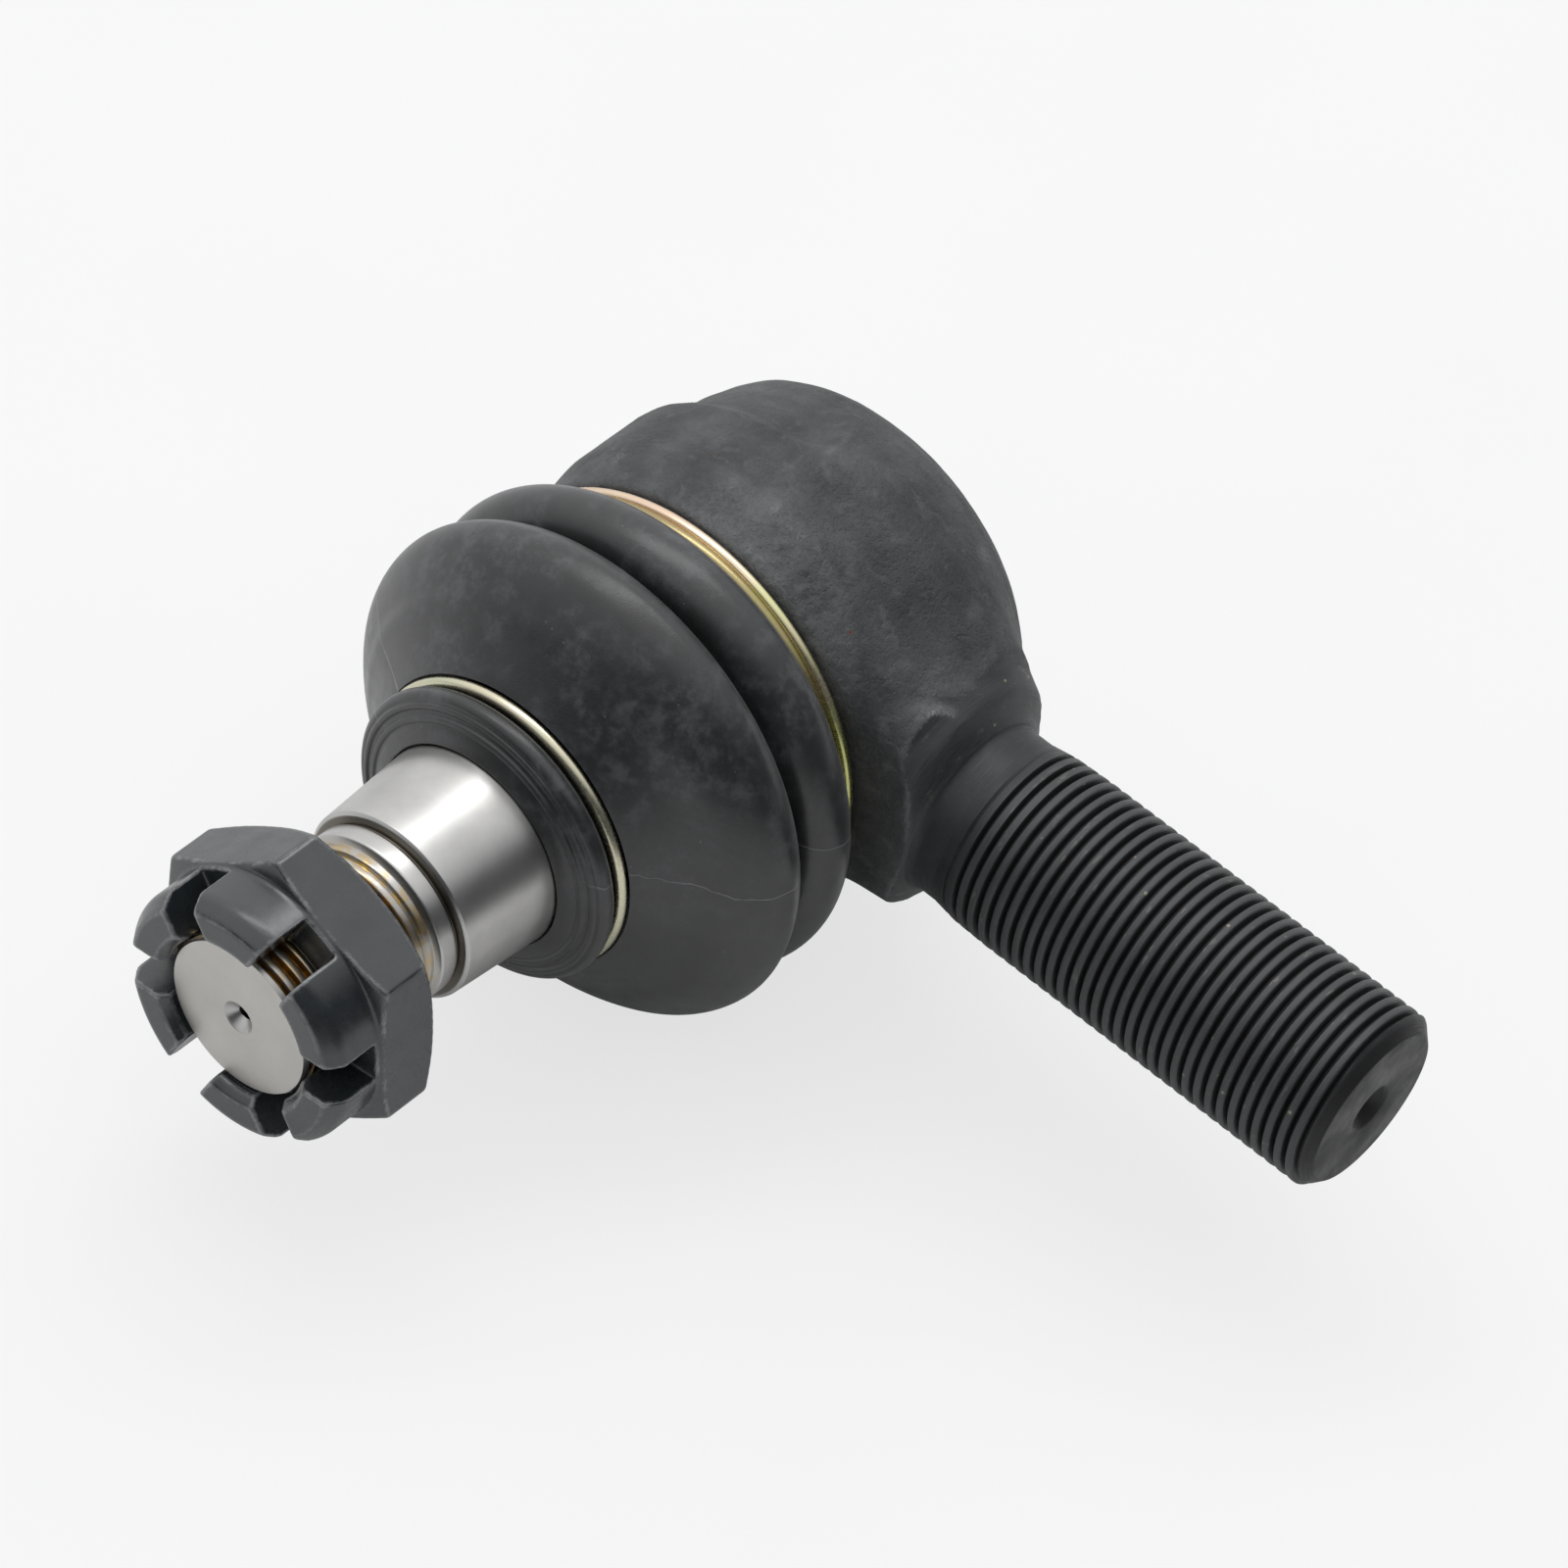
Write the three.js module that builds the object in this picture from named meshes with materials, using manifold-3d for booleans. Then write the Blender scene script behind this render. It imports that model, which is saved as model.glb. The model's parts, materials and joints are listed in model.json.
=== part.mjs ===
// Tie rod end: a forged eye with a threaded shank, a ball stud with a castle nut, and a rubber boot.
//
// Millimetres. +X runs along the shank, -Y along the stud towards the nut, +Z is up.
// The origin is the centre of the cover's outer face, on the axis of the eye.
// Most pieces are turned about the eye's axis. Their profiles are lists of [radius, station],
// where a station is the distance from the ball's centre towards the nut.

import * as THREE from "three";
import { mergeVertices } from "three/addons/utils/BufferGeometryUtils.js";
import Module from "manifold-3d";

const wasm = await Module();
wasm.setup();

// ---------- driving dimensions ----------

const GAP = 0.3; // clearance between pieces that touch on the real joint
const ROUND = 36; // sides of a large turned piece
const SMALL_ROUND = 28; // sides of a small turned piece

// shank: M28 x 2
const SHANK_R = 14;
const SHANK_END = 111.4; // from the ball's centre to the end face
const SHANK_THREAD_START = 46;
const UNDERCUT_R = 13.3; // turned relief between the neck and the thread
const UNDERCUT_START = 42.4;
const PITCH = 2;
const THREAD_DEPTH = 1.227; // external metric thread of 2 mm pitch
const THREAD_SIDES = 18;
const THREAD_CLEAR = 0.6; // keeps the envelope that cuts a thread to length off its crests
const SHANK_CHAMFER = 1.6;
const SHANK_CENTRE_HOLE_R = 3.2;
const SHANK_CENTRE_HOLE_DEPTH = 5;

// eye of the housing
const EYE_R = 32.5;
const EYE_FRONT_R = 32.9;
const EYE_FRONT = 14.8;
const EYE_BACK = -23.2; // flat ring round the cover
const EYE_BACK_R = 27.4;
const SPIGOT_R = 27.8; // carries the boot
const SPIGOT_END = 22.5;
const BEARING_BORE_R = 22.5;
const BEARING_SHOULDER = 9.6;
const OPENING_R = 16.6; // at the shoulder
const OPENING_MOUTH_R = 22; // at the spigot's end
const COVER_BORE_R = 24;
const COVER_LEDGE = -16;
const SNAP_GROOVE_R = 25.2;
const SNAP_GROOVE_FRONT = -20.1;
const SNAP_GROOVE_BACK = -22.1;

// ball stud: 35 mm ball, 30 mm cone, M24 x 2
const BALL_R = 17.5;
const BALL_FLAT = -15.6;
const NECK_R = 10;
const TAPER_START = 44;
const TAPER_END = 72.9;
const TAPER_START_R = 16.2;
const TAPER_END_R = 14.4;
const STUD_R = 12;
const STUD_THREAD_START = 77.5;
const RELIEF_R = 12.6; // groove between the cone and the plain ring
const PLAIN_RING_R = 13;
const PLAIN_RING_START = 73.6;
const PLAIN_RING_END = 76.2;
const STUD_END = 101.5;
const STUD_CHAMFER = 0.9;
const STUD_CENTRE_HOLE_R = 2.4;
const STUD_CENTRE_HOLE_DEPTH = 4;
const COTTER_HOLE_R = 2.5;
const COTTER_STATION = 97.5;

// castle nut for M24 x 2
const NUT_ACROSS_FLATS = 39;
const NUT_BACK = 84.8;
const NUT_HEX_END = 94.8;
const NUT_CROWN_END = 103.5;
const NUT_CROWN_R = 19.2;
const NUT_SLOT_WIDTH = 6.2;
const NUT_SLOT_BOTTOM = 95.4;
const NUT_SLOTS = 6;
const NUT_TURN = 9; // degrees from +X towards +Z, to the middle of a slot

// cover, from the outside in
const COVER_FACE = -21.6;
const COVER_RIM_FACE = -20;
const COVER_THICKNESS = 2.4;
const COVER_R = 23.7;
const COVER_BOSS_R = 18.5;

// rubber boot
const BEAD_R = 37.4;
const BEAD_STATION = 24.2;
const BEAD_SECTION_R = 5.1;
const DOME_R = 38.2;
const DOME_STATION = 36;
const BOOT_SPLIT = 30; // where the dome starts, at the bottom of the groove
const COLLAR_BACK = 47.9;
const COLLAR_FACE = 57.2;
const CLAMP_WIRE_R = 0.85;
const CLAMP_RING_R = 31.4;
const CLAMP_RING_STATION = 16.1;
const NECK_WIRE_R = 0.8;
const NECK_RING_R = 21.2;
const NECK_RING_STATION = 50.3;

// ---------- solids ----------

function toSolid(geometry) {
  const bare = geometry.clone();
  bare.deleteAttribute("normal");
  bare.deleteAttribute("uv");
  const merged = mergeVertices(bare, 1e-4);
  const index = merged.index.array;
  const triVerts = [];
  for (let i = 0; i < index.length; i += 3) {
    const [a, b, c] = [index[i], index[i + 1], index[i + 2]];
    if (a !== b && b !== c && c !== a) triVerts.push(a, b, c);
  }
  const mesh = new wasm.Mesh({
    numProp: 3,
    vertProperties: new Float32Array(merged.attributes.position.array),
    triVerts: new Uint32Array(triVerts),
  });
  return new wasm.Manifold(mesh);
}

function toGeometry(solid) {
  const mesh = solid.getMesh();
  const geometry = new THREE.BufferGeometry();
  geometry.setAttribute("position", new THREE.BufferAttribute(mesh.vertProperties, 3));
  geometry.setIndex(new THREE.BufferAttribute(mesh.triVerts, 1));
  geometry.computeVertexNormals();
  return geometry;
}

// A solid turned about the eye's axis. The profile closes on itself, or starts and ends on the axis.
function turned(profile, sides = ROUND) {
  const points = profile.map(([radius, station]) => new THREE.Vector2(radius, -station));
  const onAxis = points[0].x === 0 && points[points.length - 1].x === 0;
  if (THREE.ShapeUtils.area(points) < 0) points.reverse();
  if (!onAxis) points.push(points[0].clone());
  return toSolid(new THREE.LatheGeometry(points, sides));
}

// A solid turned about the shank's axis: the profile is a list of [radius, x].
function turnedAlongX(profile, sides = ROUND) {
  const points = profile.map(([radius, x]) => new THREE.Vector2(radius, x));
  if (THREE.ShapeUtils.area(points) < 0) points.reverse();
  const geometry = new THREE.LatheGeometry(points, sides);
  geometry.rotateZ(-Math.PI / 2);
  return toSolid(geometry);
}

// Points of an arc in a profile, from one angle to another, in degrees from the radial direction
// towards the nut.
function arc(centreR, centreStation, radius, from, to, steps) {
  const points = [];
  for (let i = 0; i <= steps; i += 1) {
    const angle = THREE.MathUtils.degToRad(from + ((to - from) * i) / steps);
    points.push([centreR + radius * Math.cos(angle), centreStation + radius * Math.sin(angle)]);
  }
  return points;
}

// A right-handed external thread along +Y from y = 0: one row of points on the crest helix and one
// on the root helix, two rows to a turn. Its ends are ragged, so it is cut to length afterwards.
function threadAlongY(majorR, length) {
  const turns = Math.ceil(length / PITCH) + 2;
  const positions = [];
  const index = [];
  const minorR = majorR - THREAD_DEPTH;
  const steps = turns * THREAD_SIDES;
  for (let step = 0; step <= steps; step += 1) {
    const angle = (2 * Math.PI * step) / THREAD_SIDES;
    const crestY = PITCH * (step / THREAD_SIDES - 1);
    positions.push(majorR * Math.cos(angle), crestY, -majorR * Math.sin(angle));
    positions.push(minorR * Math.cos(angle), crestY + PITCH / 2, -minorR * Math.sin(angle));
  }
  const crest = (step) => 2 * step;
  const root = (step) => 2 * step + 1;
  for (let step = 0; step < steps; step += 1) {
    index.push(crest(step), crest(step + 1), root(step + 1), crest(step), root(step + 1), root(step));
    const above = step + THREAD_SIDES;
    if (above >= steps) continue;
    index.push(root(step), root(step + 1), crest(above + 1), root(step), crest(above + 1), crest(above));
  }
  const bottom = positions.length / 3;
  positions.push(0, -2 * PITCH, 0);
  for (let step = 0; step < THREAD_SIDES; step += 1) index.push(bottom, crest(step + 1), crest(step));
  index.push(bottom, root(0), crest(THREAD_SIDES), bottom, crest(0), root(0));
  const top = bottom + 1;
  positions.push(0, PITCH * (turns + 1), 0);
  for (let step = steps - THREAD_SIDES; step < steps; step += 1) {
    index.push(top, root(step), root(step + 1));
  }
  const last = steps - THREAD_SIDES;
  index.push(top, root(steps), crest(steps), top, crest(steps), root(last));
  const geometry = new THREE.BufferGeometry();
  geometry.setAttribute("position", new THREE.Float32BufferAttribute(positions, 3));
  geometry.setIndex(index);
  return toSolid(geometry);
}

// ---------- materials ----------

const look = (color, roughness, metalness) => ({ color, roughness, metalness });
const FORGED = look(0x3b3e40, 0.6, 0.7);
const PHOSPHATED = look(0x33383c, 0.4, 0.8);
const BRIGHT_STEEL = look(0xb9b7b0, 0.28, 1);
const YELLOW_ZINC = look(0xc9a95c, 0.3, 1);
const BLACK_RUBBER = look(0x26282a, 0.7, 0);
const POLYMER = look(0xd9d5c8, 0.5, 0);
const SPRING_STEEL = look(0x4a4c50, 0.35, 1);

const assembly = new THREE.Group();
assembly.position.y = COVER_FACE;

function addPiece(name, solid, finish) {
  const mesh = new THREE.Mesh(toGeometry(solid), new THREE.MeshStandardMaterial(finish));
  mesh.name = name;
  assembly.add(mesh);
}

// ---------- housing ----------

function housingEye() {
  return turned([
    [0, EYE_BACK],
    [EYE_BACK_R, EYE_BACK],
    [EYE_BACK_R + 1, EYE_BACK + 0.8],
    [29.7, -20.6],
    [30.8, -18],
    [31.9, -14],
    [EYE_R, -10],
    [EYE_R, -8],
    [EYE_FRONT_R, -6],
    [EYE_FRONT_R, 7],
    [EYE_FRONT_R - 1.1, EYE_FRONT - 1],
    [EYE_FRONT_R - 2, EYE_FRONT],
    [SPIGOT_R, EYE_FRONT],
    [SPIGOT_R, SPIGOT_END - 0.8],
    [SPIGOT_R - 0.8, SPIGOT_END],
    [0, SPIGOT_END],
  ]);
}

function housingCavity() {
  return turned([
    [0, EYE_BACK - 1],
    [COVER_BORE_R, EYE_BACK - 1],
    [COVER_BORE_R, SNAP_GROOVE_BACK],
    [SNAP_GROOVE_R, SNAP_GROOVE_BACK],
    [SNAP_GROOVE_R, SNAP_GROOVE_FRONT],
    [COVER_BORE_R, SNAP_GROOVE_FRONT],
    [COVER_BORE_R, COVER_LEDGE],
    [BEARING_BORE_R, COVER_LEDGE],
    [BEARING_BORE_R, BEARING_SHOULDER],
    [OPENING_R, BEARING_SHOULDER],
    [OPENING_MOUTH_R, SPIGOT_END],
    [OPENING_MOUTH_R, SPIGOT_END + 1],
    [0, SPIGOT_END + 1],
  ]);
}

// The neck blends from the eye's full height to the round shank through rounded sections.
function housingNeck() {
  const threadCoreR = SHANK_R - THREAD_DEPTH - 0.2;
  const sections = [
    // x, half width along the eye's axis, half height, squareness
    [14, 14.3, 27, 0.7],
    [26, 14.4, 24, 0.62],
    [33, 14.6, 20.5, 0.6],
    [38, 14.8, 17.9, 0.62],
    [39.6, 14.7, 16.3, 0.75],
    [41.2, 14.3, 14.7, 0.95],
    [UNDERCUT_START, UNDERCUT_R, UNDERCUT_R, 1],
    [SHANK_THREAD_START - 0.2, UNDERCUT_R, UNDERCUT_R, 1],
    [SHANK_THREAD_START + 1.5, threadCoreR, threadCoreR, 1],
    [SHANK_THREAD_START + 4, threadCoreR, threadCoreR, 1],
  ];
  const sides = 28;
  const positions = [];
  const index = [];
  for (const [x, halfY, halfZ, power] of sections) {
    for (let side = 0; side < sides; side += 1) {
      const angle = (2 * Math.PI * side) / sides;
      const soften = (value) => Math.sign(value) * Math.abs(value) ** power;
      positions.push(x, halfY * soften(Math.cos(angle)), halfZ * soften(Math.sin(angle)));
    }
  }
  for (let row = 0; row < sections.length - 1; row += 1) {
    for (let side = 0; side < sides; side += 1) {
      const a = row * sides + side;
      const b = row * sides + ((side + 1) % sides);
      index.push(a, b, b + sides, a, b + sides, a + sides);
    }
  }
  const lastRow = (sections.length - 1) * sides;
  const first = positions.length / 3;
  positions.push(sections[0][0], 0, 0, sections[sections.length - 1][0], 0, 0);
  for (let side = 0; side < sides; side += 1) {
    const next = (side + 1) % sides;
    index.push(first, next, side, first + 1, lastRow + side, lastRow + next);
  }
  const geometry = new THREE.BufferGeometry();
  geometry.setAttribute("position", new THREE.Float32BufferAttribute(positions, 3));
  geometry.setIndex(index);
  return toSolid(geometry);
}

function shank() {
  const length = SHANK_END - SHANK_THREAD_START;
  const thread = threadAlongY(SHANK_R, length).rotate([0, 0, -90]);
  const envelope = turnedAlongX(
    [
      [0, 0],
      [SHANK_R - THREAD_DEPTH - 0.1, 0],
      [SHANK_R + THREAD_CLEAR, 1.9],
      [SHANK_R + THREAD_CLEAR, length - SHANK_CHAMFER - THREAD_CLEAR],
      [SHANK_R - SHANK_CHAMFER, length],
      [0, length],
    ],
    THREAD_SIDES,
  );
  const centreHole = turnedAlongX(
    [
      [0, length - SHANK_CENTRE_HOLE_DEPTH],
      [SHANK_CENTRE_HOLE_R * 0.55, length - SHANK_CENTRE_HOLE_DEPTH + 1],
      [SHANK_CENTRE_HOLE_R * 0.55, length - 2],
      [SHANK_CENTRE_HOLE_R + 0.5, length + 0.5],
      [0, length + 0.5],
    ],
    16,
  );
  return thread.intersect(envelope).subtract(centreHole).translate([SHANK_THREAD_START, 0, 0]);
}

addPiece("housing", housingEye().add(housingNeck()).add(shank()).subtract(housingCavity()), FORGED);

// ---------- bearing of the ball ----------

const socketR = BALL_R + GAP;
const bearingR = BEARING_BORE_R - GAP;
const SOCKET_LIP = 59; // degrees from the axis to the front bearing's lip
const SEAT_HOLE_R = 8;
const SEAT_BACK = -16.9;
const SEAT_FRONT = -0.4;

const frontBearing = [
  [bearingR, 0],
  ...arc(0, 0, socketR, 0, 90 - SOCKET_LIP, 4),
  [socketR * Math.sin(THREE.MathUtils.degToRad(SOCKET_LIP)) + 0.2, BEARING_SHOULDER - GAP],
  [bearingR, BEARING_SHOULDER - GAP],
];
addPiece("front_bearing", turned(frontBearing), POLYMER);

const seatHoleAngle = THREE.MathUtils.radToDeg(Math.acos(SEAT_HOLE_R / socketR));
const seatFrontAngle = THREE.MathUtils.radToDeg(Math.asin(SEAT_FRONT / socketR));
const rearSeat = [
  ...arc(0, 0, socketR, -seatHoleAngle, seatFrontAngle, 6),
  [bearingR, SEAT_FRONT],
  [bearingR, SEAT_BACK + 0.8],
  [bearingR - 0.8, SEAT_BACK],
  [SEAT_HOLE_R, SEAT_BACK],
];
addPiece("rear_seat", turned(rearSeat), POLYMER);

const SPRING_R = 16.6;
const SPRING_HOLE_R = 9;
const SPRING_THICKNESS = 0.9;
const discSpring = [
  [SPRING_R, SEAT_BACK - GAP],
  [SPRING_HOLE_R, SEAT_BACK - GAP - SPRING_THICKNESS],
  [SPRING_HOLE_R, SEAT_BACK - GAP - 2 * SPRING_THICKNESS],
  [SPRING_R, SEAT_BACK - GAP - SPRING_THICKNESS],
];
addPiece("disc_spring", turned(discSpring, SMALL_ROUND), SPRING_STEEL);

// ---------- cover, its seal and its snap ring ----------

const coverRimBack = COVER_RIM_FACE + COVER_THICKNESS;
const coverPlate = [
  [0, COVER_FACE],
  [COVER_BOSS_R - 1.2, COVER_FACE],
  [COVER_BOSS_R, COVER_RIM_FACE],
  [COVER_R, COVER_RIM_FACE],
  [COVER_R, coverRimBack],
  [COVER_BOSS_R - 0.4, coverRimBack],
  [COVER_BOSS_R - 1.2, COVER_FACE + COVER_THICKNESS],
  [0, COVER_FACE + COVER_THICKNESS],
];
addPiece("cover_plate", turned(coverPlate), BRIGHT_STEEL);

const SEAL_RING_R = 23.3;
const SEAL_SECTION_R = 0.4;
const SEAL_STATION = -16.8;
const coverSeal = arc(SEAL_RING_R, SEAL_STATION, SEAL_SECTION_R, 0, 300, 5);
addPiece("cover_seal", turned(coverSeal), BLACK_RUBBER);

// The snap ring is open at the side away from the shank, with an eye for pliers at each end.
const SNAP_RING_WIDTH = 2.7;
const SNAP_MOUTH = 7;
const SNAP_LUG_R = 2.3;
const SNAP_LUG_HOLE_R = 1;
const SNAP_LUG_X = -21.2;
const SNAP_LUG_Z = 5.6;

function snapRing() {
  const outerR = SNAP_GROOVE_R - GAP;
  const front = SNAP_GROOVE_FRONT - GAP;
  const back = SNAP_GROOVE_BACK + GAP;
  const band = turned([
    [outerR, back],
    [outerR, front],
    [outerR - SNAP_RING_WIDTH, front],
    [outerR - SNAP_RING_WIDTH, back],
  ]);
  const middle = -(front + back) / 2;
  const mouth = new THREE.BoxGeometry(2 * SNAP_RING_WIDTH + 4, 4, SNAP_MOUTH);
  mouth.translate(-outerR, middle, 0);
  let ring = band.subtract(toSolid(mouth));
  for (const side of [-1, 1]) {
    const lug = new THREE.CylinderGeometry(SNAP_LUG_R, SNAP_LUG_R, front - back, 16);
    lug.translate(SNAP_LUG_X, middle, side * SNAP_LUG_Z);
    const hole = new THREE.CylinderGeometry(SNAP_LUG_HOLE_R, SNAP_LUG_HOLE_R, 4, 12);
    hole.translate(SNAP_LUG_X, middle, side * SNAP_LUG_Z);
    ring = ring.add(toSolid(lug)).subtract(toSolid(hole));
  }
  return ring;
}
addPiece("snap_ring", snapRing(), SPRING_STEEL);

// ---------- rubber boot and its wire rings ----------

const sleeveR = SPIGOT_R + GAP;
const clampSeatR = CLAMP_RING_R - CLAMP_WIRE_R - GAP;
const bootBead = [
  [sleeveR, EYE_FRONT + GAP],
  [clampSeatR, EYE_FRONT + GAP],
  [clampSeatR, 19.2],
  ...arc(BEAD_R - BEAD_SECTION_R, BEAD_STATION, BEAD_SECTION_R, -70, 75, 8),
  [31, BOOT_SPLIT - GAP / 2],
  [28.6, BOOT_SPLIT - GAP / 2],
  [sleeveR, 21],
];
addPiece("boot_bead", turned(bootBead), BLACK_RUBBER);

// Two turns of wire, side by side.
const clampRing = [
  ...arc(CLAMP_RING_R, CLAMP_RING_STATION, CLAMP_WIRE_R, 40, -180, 5),
  ...arc(CLAMP_RING_R, CLAMP_RING_STATION + 2 * CLAMP_WIRE_R, CLAMP_WIRE_R, 180, -40, 5),
];
addPiece("boot_clamp_ring", turned(clampRing), YELLOW_ZINC);

// The dome rises from the groove, turns over its widest round and slopes in to the collar.
const domeOuter = [
  [31, BOOT_SPLIT + GAP / 2],
  [34, 31],
  [36.4, 32.2],
  [37.7, 34],
  [DOME_R, DOME_STATION],
  [37.2, 38.6],
  [35, 41.3],
  [32, 43.9],
  [28.7, 46.2],
  [25.6, 48.2],
  [22.9, 49.9],
];
const domeInner = [
  [20.7, 47.9],
  [24, 46.2],
  [27.1, 44],
  [30.3, 41.7],
  [33.2, 39],
  [35, 36.2],
  [33.6, 33.9],
  [28.6, 32.4],
  [28.6, BOOT_SPLIT + GAP / 2],
];
addPiece("boot_dome", turned([...domeOuter, ...domeInner]), BLACK_RUBBER);

const taperSlope = (TAPER_END_R - TAPER_START_R) / (TAPER_END - TAPER_START);
const taperR = (station) => TAPER_START_R + taperSlope * (station - TAPER_START);
const neckSeatR = NECK_RING_R - NECK_WIRE_R - GAP;
const bootCollar = [
  [taperR(COLLAR_BACK) + GAP, COLLAR_BACK],
  [neckSeatR, COLLAR_BACK],
  [neckSeatR, NECK_RING_STATION + NECK_WIRE_R + GAP],
  [21.2, 52.2],
  [22.2, 53.2],
  [22.4, 54.2],
  [21.8, 55],
  [18.8, 56.3],
  [taperR(COLLAR_FACE) + GAP, COLLAR_FACE],
];
addPiece("boot_collar", turned(bootCollar, SMALL_ROUND), BLACK_RUBBER);

const neckRing = arc(NECK_RING_R, NECK_RING_STATION, NECK_WIRE_R, 0, 300, 5);
addPiece("boot_neck_ring", turned(neckRing, SMALL_ROUND), YELLOW_ZINC);

// ---------- ball stud ----------

function studBody() {
  const ballBackAngle = THREE.MathUtils.radToDeg(Math.asin(BALL_FLAT / BALL_R));
  const ballNeckAngle = THREE.MathUtils.radToDeg(Math.acos(NECK_R / BALL_R));
  return turned(
    [
      [0, BALL_FLAT],
      ...arc(0, 0, BALL_R, ballBackAngle, ballNeckAngle, 11),
      [NECK_R, 26],
      [NECK_R + 0.8, 31],
      [NECK_R + 3, 37],
      [TAPER_START_R - 0.8, TAPER_START - 1.6],
      [TAPER_START_R, TAPER_START],
      [TAPER_END_R, TAPER_END - 0.4],
      [TAPER_END_R - 0.5, TAPER_END],
      [RELIEF_R, TAPER_END + 0.15],
      [RELIEF_R, PLAIN_RING_START - 0.25],
      [PLAIN_RING_R, PLAIN_RING_START],
      [PLAIN_RING_R, PLAIN_RING_END],
      [STUD_R, STUD_THREAD_START - 0.6],
      [STUD_R - THREAD_DEPTH - 0.2, STUD_THREAD_START + 0.6],
      [STUD_R - THREAD_DEPTH - 0.2, STUD_THREAD_START + 2],
      [0, STUD_THREAD_START + 2],
    ],
    SMALL_ROUND,
  );
}

// The thread starts inside the plain shank and runs to the chamfered end.
function studThread() {
  const length = STUD_END - STUD_THREAD_START + 1;
  const thread = threadAlongY(STUD_R, length);
  const envelope = turned(
    [
      [0, 0],
      [STUD_R - THREAD_DEPTH - 0.1, 0],
      [STUD_R + THREAD_CLEAR, -1.9],
      [STUD_R + THREAD_CLEAR, STUD_CHAMFER + THREAD_CLEAR - length],
      [STUD_R - STUD_CHAMFER, -length],
      [0, -length],
    ],
    THREAD_SIDES,
  );
  return thread.intersect(envelope).rotate([180, 0, 0]).translate([0, length - STUD_END, 0]);
}

function studHoles() {
  const centreHole = turned(
    [
      [0, STUD_END - STUD_CENTRE_HOLE_DEPTH],
      [1.2, STUD_END - STUD_CENTRE_HOLE_DEPTH + 1],
      [1.2, STUD_END - 1.6],
      [STUD_CENTRE_HOLE_R + 0.5, STUD_END + 0.5],
      [0, STUD_END + 0.5],
    ],
    16,
  );
  const cotterHole = new THREE.CylinderGeometry(COTTER_HOLE_R, COTTER_HOLE_R, 4 * STUD_R, 16);
  cotterHole.rotateZ(Math.PI / 2);
  cotterHole.rotateY(-THREE.MathUtils.degToRad(NUT_TURN + 30));
  cotterHole.translate(0, -COTTER_STATION, 0);
  return centreHole.add(toSolid(cotterHole));
}

addPiece("ball_stud", studBody().add(studThread()).subtract(studHoles()), BRIGHT_STEEL);

// ---------- castle nut ----------

function castleNut() {
  const cornerR = NUT_ACROSS_FLATS / Math.sqrt(3);
  const hexHeight = NUT_HEX_END - NUT_BACK;
  const hex = new THREE.CylinderGeometry(cornerR, cornerR, hexHeight, 6);
  hex.rotateY(-THREE.MathUtils.degToRad(NUT_TURN));
  hex.translate(0, -(NUT_BACK + NUT_HEX_END) / 2, 0);
  const chamfer = turned([
    [0, NUT_BACK],
    [NUT_ACROSS_FLATS / 2 - 0.6, NUT_BACK],
    [cornerR + 0.4, NUT_BACK + 2],
    [cornerR + 0.4, NUT_HEX_END - 2],
    [NUT_ACROSS_FLATS / 2 - 0.6, NUT_HEX_END],
    [0, NUT_HEX_END],
  ]);
  const crown = turned([
    [0, NUT_HEX_END - 1],
    [NUT_CROWN_R, NUT_HEX_END - 1],
    [NUT_CROWN_R, NUT_CROWN_END - 2.2],
    [NUT_CROWN_R - 1.6, NUT_CROWN_END],
    [0, NUT_CROWN_END],
  ]);
  const bore = turned([
    [0, NUT_BACK - 1],
    [STUD_R + 2.3, NUT_BACK - 1],
    [STUD_R + GAP, NUT_BACK + 1],
    [STUD_R + GAP, NUT_CROWN_END + 1],
    [0, NUT_CROWN_END + 1],
  ]);
  let nut = toSolid(hex).intersect(chamfer).add(crown).subtract(bore);
  const slotDepth = NUT_CROWN_END - NUT_SLOT_BOTTOM + 1;
  for (let slot = 0; slot < NUT_SLOTS; slot += 1) {
    const cutter = new THREE.BoxGeometry(2 * STUD_R, slotDepth, NUT_SLOT_WIDTH);
    cutter.translate(STUD_R, -NUT_SLOT_BOTTOM - slotDepth / 2, 0);
    cutter.rotateY(-THREE.MathUtils.degToRad(NUT_TURN) - (2 * Math.PI * slot) / NUT_SLOTS);
    nut = nut.subtract(toSolid(cutter));
  }
  return nut;
}

addPiece("castle_nut", castleNut(), PHOSPHATED);

export default assembly;
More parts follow.
